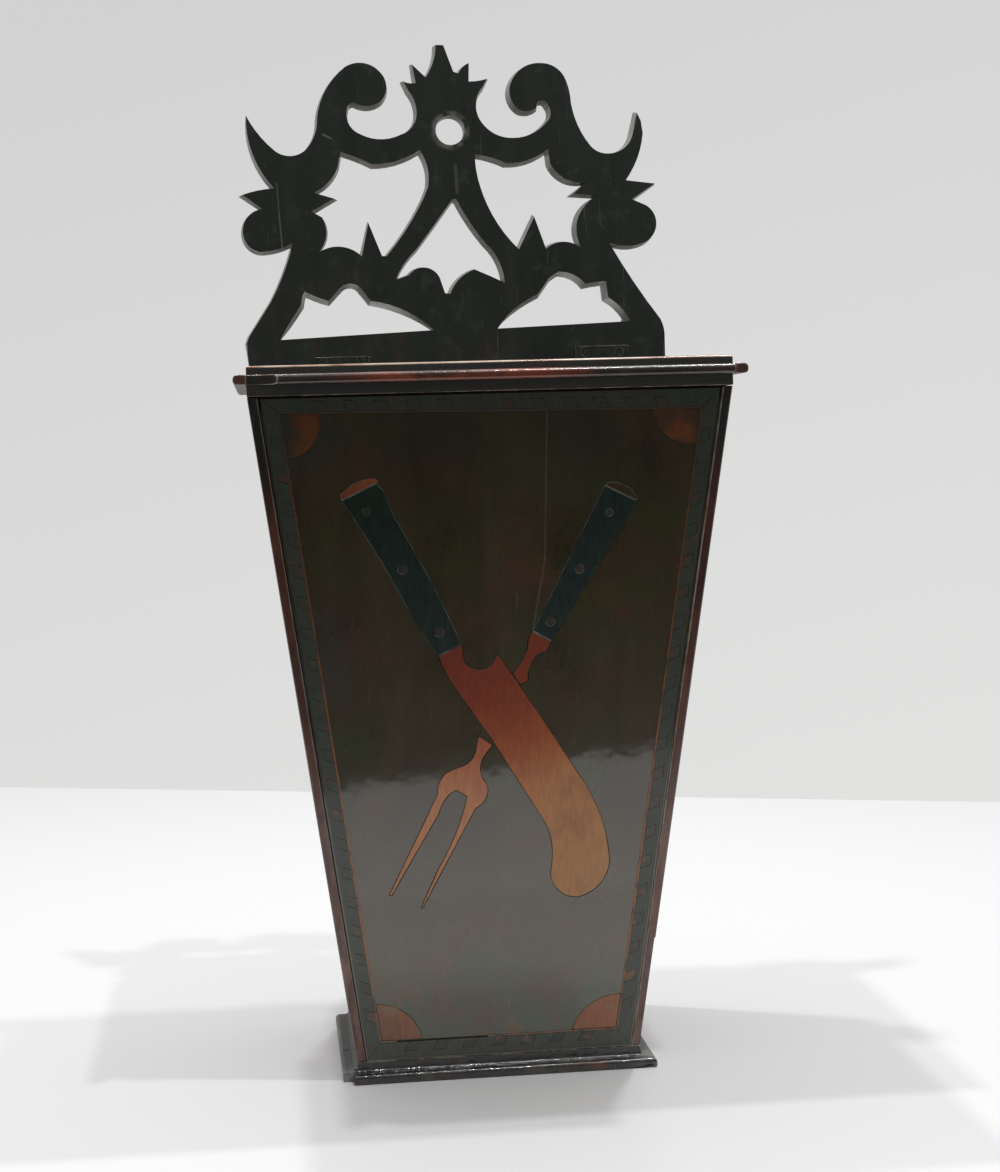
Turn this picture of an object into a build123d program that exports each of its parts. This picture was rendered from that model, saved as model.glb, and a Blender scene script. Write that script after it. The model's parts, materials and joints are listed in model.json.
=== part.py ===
from build123d import *
import math
import os

os.makedirs("parts", exist_ok=True)

# Antique hanging knife box, in millimetres.  X runs left to right, Y from front to back,
# Z up.  The origin is the centre of the footprint, on the surface that the box stands on.

# ---- case ----
BASE_T = 10.5             # bottom board
BODY_H = 350.0            # case above the bottom board
BODY_BASE_W = 152.5       # outside width at the bottom board
BODY_TOP_W = 242.0        # outside width under the lid
BODY_BASE_D = 115.0       # front face to backboard, at the bottom board
BODY_TOP_D = 172.0        # front face to backboard, under the lid
BACK_T = 12.0             # backboard
SIDE_T = 5.2              # side boards
FRONT_T = 9.0             # front panel
JOINT_GAP = 0.25          # open joint left between the front panel and each side board
ARRIS = 0.7               # worn arris on the long outer edges
SIDE_ARRIS = 1.1          # wider one where a side board meets the front panel
CHIP_TOP = 61.0           # outer arris of the right side board lost below this height
CHIP_W = 1.3
CHIP_DEEP = 3.0

# ---- lid ----
LID_GAP = 0.4             # daylight under the closed lid
LID_T = 15.0
LID_OVER = 0.9            # overhang of the lid board past the front
LID_SIDE_OVER = 0.0       # and past the sides, where it is flush
LID_BACK_GAP = 0.6        # lid board to backboard
LID_ARRIS = 1.2
LID_MOULD_W = 6.5         # projection of the moulding round the lid
LID_MOULD_H = 5.0
LID_NOSE_R = 2.1
LID_MOULD_DROP = 4.4      # top of the lid down to the moulding
LID_CHIP_L = 14.0         # length lost from the left end of the front moulding
LID_CHIP_LEFT = 1.4       # what is left of its projection there

# ---- base moulding ----
BASE_MOULD_W = 7.4
BASE_NOSE_H = 5.2
BASE_NOSE_TOP_R = 2.2
BASE_NOSE_LOW_R = 1.2
BASE_COVE = 1.6           # small hollow above the nose
BASE_STUB = 2.2           # broken left end of the front strip, past the case's side
BASE_WORN_L = 12.0        # underside worn away toward the right corner, from inside the side
BASE_WORN_H = 3.4

# ---- hinges ----
PIN_R = 1.1
PIN_PLAY = 0.05
KNUCKLE_R = 2.5
PIN_OFF = 2.7             # pin centre to the wood, on both leaves
LEAF_T = 1.8
LEAF_L = 31.0
LEAF_IN = (53.5, 38.0)    # case side to a hinge's middle, left and right
LEAF_W = 11.1             # pin centre to the leaf's long edge
BOARD_LEAF_W = (8.1, 11.1)      # the same on the backboard, left hinge and right hinge
KNUCKLES = 3
KNUCKLE_SIDES = 18        # filed flats round a barrel
KNUCKLE_GAP = 0.15
SCREW_HEAD_R = 2.4
SCREW_R = 1.2
HEAD_SIDES = 12           # filed flats round a head, and its seat
SHANK_SIDES = 8
SCREW_X = 10.2            # screw either side of a leaf's middle
SCREW_OUT = 7.7           # pin centre to the screws
BOARD_SCREW_OUT = (5.5, 7.7)
SCREW_L = 8.0
SLOT_W = 0.7
SLOT_DEEP = 0.9

# ---- fretwork and hanging hole, heights measured up from the top of the case ----
FRET_UP = 23.5            # the fretwork starts above the hinges
HANG_X, HANG_UP, HANG_R = -1.4, 153.7, 8.3

# ---- inlay ----
POCKET = 1.2              # depth of the pockets
INLAY_GAP = 0.18          # knife-line round each piece of inlay
SHEET_T = 1.2             # the inlay is as thick as its pocket is deep
STRING_W = 1.1
STRING_IN = 14.3          # outside of the case to the stringing, at the sides
STRING_TOP_LEFT = 8.0     # top edge of the panel down to the stringing
STRING_TOP_RIGHT = 10.6
STRING_BOT = 10.6
STRING_LOST = (-55.0, -6.4)     # stretch of the bottom stringing that has come away
BAND_TOP_IN = 0.9         # top edge of the panel down to the dark band
FANS = {                  # width along the bottom or top line, height along the side
    "bottom_left": (21.6, 21.2), "bottom_right": (24.0, 19.4),
    "top_right": (24.0, 17.5), "top_left": (18.5, 22.5),
}
LOZENGE_PITCH = {"bottom": 15.5, "right": 16.2, "top": 15.5, "left": 16.2}
LOZENGE_L = 6.0
LOZENGE_LEAN = {"bottom": -2.8, "right": 2.8, "top": 2.8, "left": -2.8}
LOZENGE_W = 5.3

# ---- derived places ----
BODY_Z0 = BASE_T
BODY_Z1 = BASE_T + BODY_H
LID_Z0 = BODY_Z1 + LID_GAP
LID_Z1 = LID_Z0 + LID_T
DEPTH = BACK_T + BODY_TOP_D + LID_OVER + LID_MOULD_W
YB = DEPTH / 2 - BACK_T   # front face of the backboard
PIN_Y = YB - PIN_OFF
PIN_Z = LID_Z1 + PIN_OFF
TAPER = (BODY_TOP_W - BODY_BASE_W) / 2 / BODY_H
RAKE = (BODY_TOP_D - BODY_BASE_D) / BODY_H
LEAN = math.atan(RAKE)
PANEL_L = BODY_H / math.cos(LEAN)
FRET_Z = BODY_Z1 + FRET_UP
HANG_Z = BODY_Z1 + HANG_UP
REACH = BODY_TOP_W        # blanks and cutters run this far past the middle of the case


def half_w(z):
    """Outside half width of the case at height z."""
    return BODY_BASE_W / 2 + (z - BODY_Z0) * TAPER


def front_y(z):
    """Front face of the case at height z."""
    return YB - BODY_BASE_D - (z - BODY_Z0) * RAKE


def prism(points, vector):
    """Closed polygon through 3-D points, swept along a vector."""
    face = make_face(Polyline(*points, close=True))
    v = Vector(*vector)
    return extrude(face, amount=v.length, dir=v.normalized())


# ---------------------------------------------------------------- sawn outlines
# An outline is a list of (x, z) corners.  A pair of points is an arc: the first is
# half way along it, the second its end.

def centre_of(a, m, b):
    """Centre of the circle through three points."""
    d = 2 * (a[0] * (m[1] - b[1]) + m[0] * (b[1] - a[1]) + b[0] * (a[1] - m[1]))
    sa, sm, sb = (p[0] ** 2 + p[1] ** 2 for p in (a, m, b))
    return ((sa * (m[1] - b[1]) + sm * (b[1] - a[1]) + sb * (a[1] - m[1])) / d,
            (sa * (b[0] - m[0]) + sm * (a[0] - b[0]) + sb * (m[0] - a[0])) / d)


def unit(x, z):
    n = math.hypot(x, z)
    return x / n, z / n


def stretches(outline):
    """Split an outline into (start, middle or None, end) stretches."""
    ends = [p[1] if isinstance(p[0], tuple) else p for p in outline]
    return [(ends[i - 1], p[0] if isinstance(p[0], tuple) else None, ends[i])
            for i, p in enumerate(outline)]


def headings(a, m, b):
    """Directions of travel at the start, middle and end of a stretch."""
    if m is None:
        d = unit(b[0] - a[0], b[1] - a[1])
        return d, d, d
    c = centre_of(a, m, b)
    turn = 1 if (m[0] - a[0]) * (b[1] - m[1]) - (m[1] - a[1]) * (b[0] - m[0]) > 0 else -1
    return tuple(unit(-turn * (p[1] - c[1]), turn * (p[0] - c[0])) for p in (a, m, b))


def grown(outline, growth, level=-1e9):
    """The outline moved outward by growth wherever it lies above a level.

    Args:
        outline: corners and arcs, in either direction of travel.
        growth: distance to move; negative shrinks the outline.
        level: height below which the outline stays where it is.
    """
    runs = stretches(outline)
    area = sum(a[0] * b[1] - a[1] * b[0] for a, _, b in runs)
    side = growth if area > 0 else -growth
    heads = [headings(*r) for r in runs]

    def moved(p, h_in, h_out):
        if p[1] < level:
            return p
        n1, n2 = (h_in[1], -h_in[0]), (h_out[1], -h_out[0])
        k = max(1 + n1[0] * n2[0] + n1[1] * n2[1], 0.35)
        return (p[0] + side * (n1[0] + n2[0]) / k, p[1] + side * (n1[1] + n2[1]) / k)

    out = []
    for i, (a, m, b) in enumerate(runs):
        end = moved(b, heads[i][2], heads[(i + 1) % len(runs)][0])
        out.append(end if m is None else (moved(m, heads[i][1], heads[i][1]), end))
    return out


def moved_up(outline, up):
    """The outline, moved up by a distance."""
    return [tuple((x, z + up) for x, z in p) if isinstance(p[0], tuple) else (p[0], p[1] + up)
            for p in outline]


def outline_face(outline, place):
    """Face of an outline, each (x, z) carried to 3-D by place."""
    edges = []
    for a, m, b in stretches(outline):
        edges.append(Line(place(*a), place(*b)) if m is None
                     else ThreePointArc(place(*a), place(*m), place(*b)))
    return make_face(edges)


def sawn(outline, spread, y0, y1, level=-1e9):
    """Board-thick solid of an outline whose saw cut spreads from face y0 to face y1."""
    near = outline_face(outline, lambda x, z: (x, y0, z))
    far = outline_face(grown(outline, spread, level), lambda x, z: (x, y1, z))
    return loft([near, far], ruled=True)


# ---------------------------------------------------------------- backboard
# The fretwork's outlines are measured up from the top of the case.
SAW = 1.1                 # how far the hand-sawn fret edges run out of square
SAW_LOW = 2.0             # the two lower openings are cut more aslant
SQUARE_FLOOR = 43.2       # but their floors, below this height, are square

RIGHT_EDGE = [
    (120.4, FRET_UP - 1.5), (120.4, 34.0), ((119.9, 39.3), (118.2, 44.0)),
    ((103.5, 64.8), (89.0, 88.5)),
    ((99.5, 86.4), (110.5, 88.7)), ((117.0, 99.5), (111.0, 109.7)), (103.0, 113.2),
    (116.5, 122.0), ((107.5, 123.1), (99.5, 124.1)),
    ((106.9, 137.1), (110.2, 151.0)), (109.2, 158.0), (107.0, 162.5),
    (104.4, 150.7), ((98.8, 142.3), (90.0, 139.5)), ((84.3, 140.5), (79.5, 144.0)),
    ((72.3, 156.0), (68.7, 168.8)), ((67.9, 175.5), (66.0, 181.7)),
    ((60.3, 188.7), (51.7, 191.2)), ((41.0, 188.5), (34.5, 180.8)),
    ((33.8, 171.8), (39.0, 164.8)), ((44.0, 164.1), (48.8, 166.1)),
    ((51.6, 170.1), (55.2, 167.7)), ((56.8, 163.3), (55.0, 158.5)),
    ((46.0, 151.4), (34.7, 149.0)), ((24.3, 151.4), (17.2, 157.5)),
    ((14.4, 163.0), (14.0, 169.0)), ((15.3, 174.3), (18.0, 178.0)),
]
CROWN = [
    (20.5, 182.5), ((15.2, 181.4), (10.0, 181.1)), (10.4, 191.5),
    ((6.6, 189.2), (4.2, 185.7)), (1.4, 186.7), (-4.0, 201.7), (-8.3, 201.8),
    ((-9.9, 192.8), (-14.6, 183.7)), (-22.1, 190.9), (-20.3, 180.5),
    ((-23.8, 180.4), (-27.4, 181.5)),
]
LEFT_EDGE = [
    (-24.7, 176.5), ((-21.3, 170.3), (-20.3, 163.0)), ((-22.9, 156.2), (-29.5, 151.7)),
    ((-41.8, 149.1), (-53.0, 152.2)), ((-59.5, 158.8), (-59.9, 166.3)),
    ((-58.4, 169.1), (-55.5, 169.8)), ((-48.0, 167.9), (-40.6, 170.5)),
    ((-37.1, 178.7), (-40.2, 186.5)), ((-49.3, 191.9), (-60.4, 189.8)),
    ((-71.3, 177.8), (-77.0, 161.3)), ((-79.0, 151.2), (-84.0, 143.7)),
    ((-92.3, 140.3), (-101.6, 143.4)), ((-108.6, 150.4), (-117.0, 163.1)),
    ((-113.9, 141.1), (-102.5, 122.3)), ((-112.0, 121.2), (-120.6, 118.9)),
    (-109.6, 110.8), ((-119.1, 105.1), (-121.0, 96.5)),
    ((-117.4, 89.4), (-109.0, 86.8)), ((-100.6, 88.3), (-93.0, 91.3)),
    ((-98.9, 74.2), (-106.7, 58.2)), (-119.7, 38.8), (-121.1, 35.1),
    (-120.4, FRET_UP - 1.5),
]
UPPER_LEFT = [
    ((-54.9, 138.9), (-46.5, 135.0)), ((-32.8, 136.7), (-19.3, 142.8)),
    ((-15.0, 132.8), (-15.1, 121.8)), (-17.6, 115.9), ((-27.9, 98.5), (-40.1, 83.0)),
    (-42.6, 83.2), (-49.8, 102.0), (-54.1, 83.2), ((-66.8, 88.9), (-78.8, 85.7)),
    ((-73.8, 97.0), (-76.2, 105.7)), (-82.0, 108.9), (-69.0, 116.1), (-80.3, 119.5),
    ((-70.0, 127.2), (-66.2, 133.7)), (-64.5, 142.2),
]
UPPER_RIGHT = [
    ((13.0, 130.4), (15.2, 121.0)), ((23.4, 102.1), (36.4, 85.6)), (45.7, 104.1),
    (52.1, 85.7), ((62.6, 89.5), (72.8, 85.6)), ((70.2, 93.7), (70.6, 101.5)),
    ((75.3, 109.9), (83.0, 115.3)), (68.8, 116.9), (76.6, 123.3),
    ((64.2, 125.4), (55.8, 134.1)), (54.8, 142.6), ((42.2, 136.1), (30.0, 134.8)),
    ((21.2, 138.2), (12.4, 140.1)),
]
CENTRE = [
    ((-11.2, 101.5), (-22.7, 86.7)), ((-30.2, 78.4), (-35.2, 69.4)), (-27.4, 72.1),
    ((-17.6, 76.1), (-9.8, 70.1)), (-7.0, 61.3), (-4.0, 60.9),
    ((1.9, 69.8), (10.4, 74.6)), ((19.6, 70.5), (27.6, 66.7)),
    ((24.7, 78.8), (17.1, 89.5)), ((8.2, 101.8), (0.9, 114.7)), (-1.2, 114.8),
]
LOWER_LEFT = [
    (-14.4, 40.5), ((-31.2, 52.3), (-49.7, 57.8)), (-55.2, 64.9),
    ((-61.6, 67.9), (-67.9, 64.7)), (-74.0, 58.3), ((-80.8, 60.7), (-87.4, 63.9)),
    (-88.9, 60.5), (-89.8, 55.9), ((-96.2, 46.8), (-101.8, 36.8)),
]
LOWER_RIGHT = [
    (100.2, 43.4), ((95.0, 51.3), (87.7, 57.1)), (86.6, 66.6),
    ((80.5, 66.1), (74.4, 65.1)), ((67.0, 70.8), (58.6, 72.4)), (53.4, 68.9),
    (46.8, 59.8), ((33.9, 52.5), (23.0, 40.6)), (96.4, 43.1),
]

OUTLINE = ([(-BODY_BASE_W / 2, BODY_Z0), (BODY_BASE_W / 2, BODY_Z0),
            (BODY_TOP_W / 2, BODY_Z1)]
           + moved_up(RIGHT_EDGE + CROWN + LEFT_EDGE, BODY_Z1)
           + [(-BODY_TOP_W / 2, BODY_Z1)])

backboard = sawn(OUTLINE, SAW, YB, YB + BACK_T, FRET_Z)
for hole, slant, floor in ((UPPER_LEFT, SAW, 0), (UPPER_RIGHT, SAW, 0), (CENTRE, SAW, 0),
                           (LOWER_LEFT, SAW_LOW, SQUARE_FLOOR),
                           (LOWER_RIGHT, SAW_LOW, SQUARE_FLOOR)):
    out = 0.5             # the cutter runs past both faces of the board
    step = slant / BACK_T * out
    backboard -= sawn(grown(moved_up(hole, BODY_Z1), step), -slant - 2 * step,
                      YB - out, YB + BACK_T + out, BODY_Z1 + floor)
backboard -= Pos(HANG_X, YB + BACK_T / 2, HANG_Z) * Rot(90, 0, 0) * Cylinder(HANG_R, BACK_T * 2)

# ---------------------------------------------------------------- case boards
SIDE_X = SIDE_T / math.cos(math.atan(TAPER))       # side board measured along X
FRONT_Y = FRONT_T / math.cos(LEAN)                 # front panel measured along Y

case_profile = prism([(-REACH, front_y(BODY_Z0), BODY_Z0), (-REACH, YB, BODY_Z0),
                      (-REACH, YB, BODY_Z1), (-REACH, front_y(BODY_Z1), BODY_Z1)],
                     (2 * REACH, 0, 0))

sides = {}
for name, s in (("left_side", -1), ("right_side", 1)):
    board = prism([(s * half_w(BODY_Z0), -REACH, BODY_Z0),
                   (s * half_w(BODY_Z1), -REACH, BODY_Z1),
                   (s * (half_w(BODY_Z1) - SIDE_X), -REACH, BODY_Z1),
                   (s * (half_w(BODY_Z0) - SIDE_X), -REACH, BODY_Z0)], (0, 2 * REACH, 0))
    board = board & case_profile
    long_edges = board.faces().sort_by(Axis.Y)[0].edges().sort_by(SortBy.LENGTH)[-2:]
    inner, outer = sorted(long_edges, key=lambda e: s * (e @ 0.5).X)
    board = chamfer(inner, SIDE_ARRIS)
    long_edges = board.faces().sort_by(Axis.Y)[0].edges().sort_by(SortBy.LENGTH)[-2:]
    sides[name] = chamfer(max(long_edges, key=lambda e: s * (e @ 0.5).X), ARRIS)

chip_z = BODY_Z0 + CHIP_TOP
lost = prism([(half_w(BODY_Z0) - CHIP_W, -REACH, BODY_Z0), (REACH, -REACH, BODY_Z0),
              (REACH, -REACH, chip_z), (half_w(chip_z) - CHIP_W, -REACH, chip_z - 0.8)],
             (0, 2 * REACH, 0))
lost &= prism([(0, front_y(z) + d, z) for z, d in
               ((BODY_Z0, -5), (BODY_Z0, CHIP_DEEP), (chip_z, CHIP_DEEP), (chip_z, -5))],
              (REACH, 0, 0))
sides["right_side"] -= lost

inset = SIDE_X + JOINT_GAP
front_panel = prism([(-REACH, front_y(BODY_Z0), BODY_Z0),
                     (-REACH, front_y(BODY_Z0) + FRONT_Y, BODY_Z0),
                     (-REACH, front_y(BODY_Z1) + FRONT_Y, BODY_Z1),
                     (-REACH, front_y(BODY_Z1), BODY_Z1)], (2 * REACH, 0, 0))
front_panel &= prism([(half_w(BODY_Z0) - inset, -REACH, BODY_Z0),
                      (half_w(BODY_Z1) - inset, -REACH, BODY_Z1),
                      (inset - half_w(BODY_Z1), -REACH, BODY_Z1),
                      (inset - half_w(BODY_Z0), -REACH, BODY_Z0)], (0, 2 * REACH, 0))
long_edges = front_panel.faces().sort_by(Axis.Y)[0].edges().sort_by(SortBy.LENGTH)[-2:]
front_panel = chamfer(long_edges, ARRIS * 0.6)

bottom_board = Pos(0, YB + BACK_T, 0) * Box(
    BODY_BASE_W, BODY_BASE_D + BACK_T, BASE_T, align=(Align.CENTER, Align.MAX, Align.MIN))

# ---------------------------------------------------------------- inlay
# Everything let into the panel is drawn flat on its slanting front face: x from the
# middle, s up the slope from the panel's foot.
PANEL = Plane(origin=(0, front_y(BODY_Z0), BODY_Z0), x_dir=(1, 0, 0),
              z_dir=(0, -math.cos(LEAN), -math.sin(LEAN)))
WIDEN = TAPER * math.cos(LEAN)


def flat(outline, depth, lift=0.0):
    """Sheet of an outline on the panel face, going depth into the panel."""
    face = outline_face(outline, lambda x, s: PANEL.from_local_coords((x, s, lift)))
    return extrude(face, amount=depth + lift, dir=-PANEL.z_dir)


def piece(outline):
    return flat(grown(outline, -INLAY_GAP / 2), SHEET_T)


def pocket(outline):
    return flat(grown(outline, INLAY_GAP / 2), POCKET, 1.0)


def frame_corners(side_in, bottom, top_left, top_right):
    """Corners of a four-sided frame line set in from the case's edges."""
    corners = []
    for sign, s in ((-1, bottom), (1, bottom), (1, PANEL_L - top_right), (-1, PANEL_L - top_left)):
        corners.append((sign * (BODY_BASE_W / 2 + WIDEN * s - side_in), s))
    return corners


SIDE_NAMES = ("bottom", "right", "top", "left")
STRING_HALF = STRING_W / 2
line_out = frame_corners(STRING_IN - STRING_HALF, STRING_BOT - STRING_HALF,
                         STRING_TOP_LEFT - STRING_HALF, STRING_TOP_RIGHT - STRING_HALF)
line_in = frame_corners(STRING_IN + STRING_HALF, STRING_BOT + STRING_HALF,
                        STRING_TOP_LEFT + STRING_HALF, STRING_TOP_RIGHT + STRING_HALF)
band_out = frame_corners(inset + BAND_TOP_IN, BAND_TOP_IN, BAND_TOP_IN, BAND_TOP_IN)

# The knife and fork are measured from the middle of the panel.
KNIFE_JOIN = [(-29.6, 42.9), (-17.2, 48.7)]
FORK_JOIN = [(18.9, 54.3), (28.6, 48.4)]
KNIFE_BUTT = [(-76.5, 124.7), (-58.9, 133.1)]
FORK_BUTT = [(56.0, 128.7), (72.2, 120.3)]

INLAY = {
    "knife_handle": [
        KNIFE_JOIN[0], KNIFE_JOIN[1], ((-34.0, 85.7), (-50.0, 115.7)), (-55.0, 129.3),
        KNIFE_BUTT[1], KNIFE_BUTT[0], ((-58.3, 94.5), (-41.3, 61.4))],
    "knife_butt_cap": [
        KNIFE_BUTT[0], KNIFE_BUTT[1], (-57.4, 134.0), (-59.4, 135.9),
        ((-69.3, 133.7), (-77.2, 127.6))],
    "knife_blade": [
        KNIFE_JOIN[1], KNIFE_JOIN[0], (-23.4, 29.2), (-3.1, -1.6), (25.4, -49.9),
        ((28.4, -62.1), (27.7, -74.8)), ((31.6, -86.6), (42.5, -90.9)),
        ((53.7, -84.4), (59.0, -68.5)), ((53.7, -44.6), (42.3, -22.1)),
        ((21.2, 12.0), (2.4, 41.4)), (0.1, 42.6), ((-9.3, 35.1), (-16.4, 44.3))],
    "fork_neck": [
        FORK_JOIN[1], FORK_JOIN[0], (16.6, 50.0), ((14.0, 39.9), (8.4, 32.6)),
        (12.7, 26.1), (17.0, 28.1), ((17.5, 35.5), (21.2, 41.5)), (25.8, 43.3)],
    "fork_tines": [
        (-1.9, -5.3), (-9.3, 0.1), (-10.9, -8.0), ((-14.6, -13.9), (-20.2, -16.5)),
        (-26.2, -19.0), ((-29.8, -23.7), (-31.0, -30.5)), (-57.2, -84.4), (-55.6, -85.0),
        ((-42.4, -61.8), (-30.5, -41.6)), ((-27.8, -35.1), (-24.2, -30.4)),
        (-21.0, -28.9), (-15.8, -32.6), ((-21.6, -51.4), (-31.6, -71.7)), (-40.6, -92.0),
        (-39.8, -93.0), ((-25.3, -65.4), (-11.2, -39.1)), ((-5.2, -32.7), (-5.1, -26.2)),
        ((-8.4, -18.4), (-6.3, -11.0))],
    "fork_handle": [
        FORK_JOIN[0], FORK_JOIN[1], ((46.3, 77.1), (62.6, 103.1)), (71.4, 117.6),
        FORK_BUTT[1], FORK_BUTT[0], ((44.3, 105.4), (32.0, 80.4))],
    "fork_butt_cap": [
        FORK_BUTT[1], FORK_BUTT[0], (57.9, 130.2), ((68.7, 127.1), (73.3, 120.6))],
}
def peg(radius, length, sides=12):
    """Whittled peg with flat sides, along Z and centred on the origin."""
    return extrude(RegularPolygon(radius, sides), amount=length / 2, both=True)


RIVETS = {
    "knife": ((-64.0, 118.8, 1.6), (-46.8, 88.7, 2.1), (-28.6, 55.5, 2.1)),
    "fork": ((58.5, 114.5, 1.6), (43.2, 85.9, 2.1), (28.2, 58.9, 2.1)),
}

inlay = {name: piece(moved_up(outline, PANEL_L / 2)) for name, outline in INLAY.items()}
for outline in INLAY.values():
    front_panel -= pocket(moved_up(outline, PANEL_L / 2))
for tool, places in RIVETS.items():
    pegs = []
    for x, s, r in places:
        seat = PANEL * Pos(x, s + PANEL_L / 2, -SHEET_T / 2)
        pegs.append(seat * peg(r, SHEET_T))
        inlay[f"{tool}_handle"] -= seat * peg(r + INLAY_GAP / 2, SHEET_T * 2)
    inlay[f"{tool}_rivets"] = Compound(children=pegs)

# quarter fans in the corners of the stringing
for i, corner in enumerate(("bottom_left", "bottom_right", "top_right", "top_left")):
    c, ahead, back = line_in[i], line_in[(i + 1) % 4], line_in[i - 1]
    u = unit(ahead[0] - c[0], ahead[1] - c[1])
    v = unit(back[0] - c[0], back[1] - c[1])
    width, height = FANS[corner]
    a, b = (width, height) if i % 2 == 0 else (height, width)
    ends = [(c[0] + a * f * u[0] + b * g * v[0], c[1] + a * f * u[1] + b * g * v[1])
            for f, g in ((1, 0), (math.sqrt(0.5), math.sqrt(0.5)), (0, 1))]
    fan = [c, ends[0], (ends[1], ends[2])]
    inlay[f"fan_{corner}"] = piece(fan)
    front_panel -= pocket(fan)

# stringing, dark bands and the lozenges let into them
ring = flat(grown(band_out, INLAY_GAP / 2), POCKET, 1.0)
ring -= flat(grown(line_in, -INLAY_GAP / 2), POCKET * 2, 2.0)
front_panel -= ring
for i, name in enumerate(SIDE_NAMES):
    j = (i + 1) % 4
    inlay[f"string_{name}"] = piece([line_out[i], line_out[j], line_in[j], line_in[i]])
    band = piece([band_out[i], band_out[j], line_out[j], line_out[i]])
    a, b = line_out[i], line_out[j]
    run = math.hypot(b[0] - a[0], b[1] - a[1])
    t = unit(b[0] - a[0], b[1] - a[1])
    n = (t[1], -t[0])     # outward, away from the stringing
    pitch, lean = LOZENGE_PITCH[name], LOZENGE_LEAN[name]
    count = int((run - pitch * 0.8) / pitch)
    first = (run - (count - 1) * pitch) / 2
    marks = []
    for k in range(count):
        mid = first + k * pitch
        shape = []
        for end, out_n in ((-1, 0), (1, 0), (1, LOZENGE_W), (-1, LOZENGE_W)):
            along_t = mid + end * LOZENGE_L / 2 + lean * (out_n / LOZENGE_W - 0.5)
            shape.append((a[0] + t[0] * along_t + n[0] * out_n,
                          a[1] + t[1] * along_t + n[1] * out_n))
        marks.append(piece(shape))
        band -= flat(grown(shape, INLAY_GAP / 2), SHEET_T * 2, 1.0)
    inlay[f"band_{name}"] = band
    inlay[f"lozenges_{name}"] = Compound(children=marks)
inlay["string_bottom"] -= prism(
    [(STRING_LOST[0], -REACH, 0), (STRING_LOST[1], -REACH, 0),
     (STRING_LOST[1], -REACH, REACH), (STRING_LOST[0], -REACH, REACH)], (0, REACH, 0))

# ---------------------------------------------------------------- mouldings
def moulding(width, nose_h, radii, cove, place, vector):
    """Straight moulding: a rounded nose, with a small cove above it if cove > 0.

    Args:
        width: projection from the wood it is planted on.
        nose_h: height of the nose.
        radii: rounding of the nose's lower and upper corner.
        cove: radius of the hollow, 0 for none.
        place: carries (out, up) of the section to 3-D.
        vector: the run of the moulding.
    """
    low, high = radii
    flat_end = nose_h - high
    half = 1 - math.sqrt(0.5)
    edges = [
        Line(place(0, 0), place(width - low, 0)),
        ThreePointArc(place(width - low, 0), place(width - low * half, low * half),
                      place(width, low)),
        Line(place(width, low), place(width, flat_end)),
        ThreePointArc(place(width, flat_end), place(width - high * half, nose_h - high * half),
                      place(width - high, nose_h)),
        Line(place(width - high, nose_h), place(cove, nose_h)),
    ]
    if cove:
        edges += [ThreePointArc(place(cove, nose_h), place(cove * half, nose_h + cove * half),
                                place(0, nose_h + cove)),
                  Line(place(0, nose_h + cove), place(0, 0))]
    else:
        edges += [Line(place(0, nose_h), place(0, 0))]
    v = Vector(*vector)
    return extrude(make_face(edges), amount=v.length, dir=v.normalized())


base_hw, base_front = BODY_BASE_W / 2, YB - BODY_BASE_D
base_section = (BASE_MOULD_W, BASE_NOSE_H, (BASE_NOSE_LOW_R, BASE_NOSE_TOP_R), BASE_COVE)
right_mitre = prism([(base_hw, base_front, -1), (base_hw + 40, base_front - 40, -1),
                     (base_hw + 40, base_front + REACH, -1), (base_hw, base_front + REACH, -1)],
                    (0, 0, 40))
broken = -base_hw - BASE_STUB
base_moulding_front = moulding(
    *base_section, lambda out, up: (broken - 0.7, base_front - out, up),
    (BODY_BASE_W + BASE_STUB + 30, 0, 0))
base_moulding_front -= right_mitre
base_moulding_front -= prism(
    [(broken - 2, -REACH, -1), (broken + 0.9, -REACH, -1), (broken - 0.1, -REACH, 2.6),
     (broken + 1.3, -REACH, 4.3), (broken + 0.2, -REACH, 9), (broken - 2, -REACH, 9)],
    (0, REACH, 0))
base_moulding_front -= prism(     # underside worn up toward the right corner
    [(base_hw - BASE_WORN_L, -REACH, -1), (base_hw - BASE_WORN_L, -REACH, 0),
     (base_hw, -REACH, BASE_WORN_H * 0.35), (base_hw + BASE_MOULD_W, -REACH, BASE_WORN_H),
     (base_hw + BASE_MOULD_W, -REACH, -1)], (0, REACH, 0))
base_moulding_right = moulding(
    *base_section, lambda out, up: (base_hw + out, YB, up), (0, -BODY_BASE_D - 60, 0))
base_moulding_right &= right_mitre
base_moulding_left = moulding(
    *base_section, lambda out, up: (-base_hw - out, YB, up), (0, -BODY_BASE_D, 0))
base_moulding_left -= prism(      # old split through the nose
    [(-base_hw - 2.6, base_front + 25.0, -1), (-base_hw - 9, base_front + 24.2, -1),
     (-base_hw - 9, base_front + 24.7, -1)], (0, 0, 20))

# ---------------------------------------------------------------- lid
lid_hw = BODY_TOP_W / 2 + LID_SIDE_OVER
lid_front, lid_back = YB - BODY_TOP_D - LID_OVER, YB - LID_BACK_GAP
lid_board = Pos(0, lid_back, LID_Z0) * Box(
    2 * lid_hw, lid_back - lid_front, LID_T, align=(Align.CENTER, Align.MAX, Align.MIN))
top = lid_board.faces().sort_by(Axis.Z)[-1].edges()
worn = [e for e in top if (e @ 0.5).Y < lid_back - 1]
lid_board = fillet(worn, LID_ARRIS)

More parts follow.
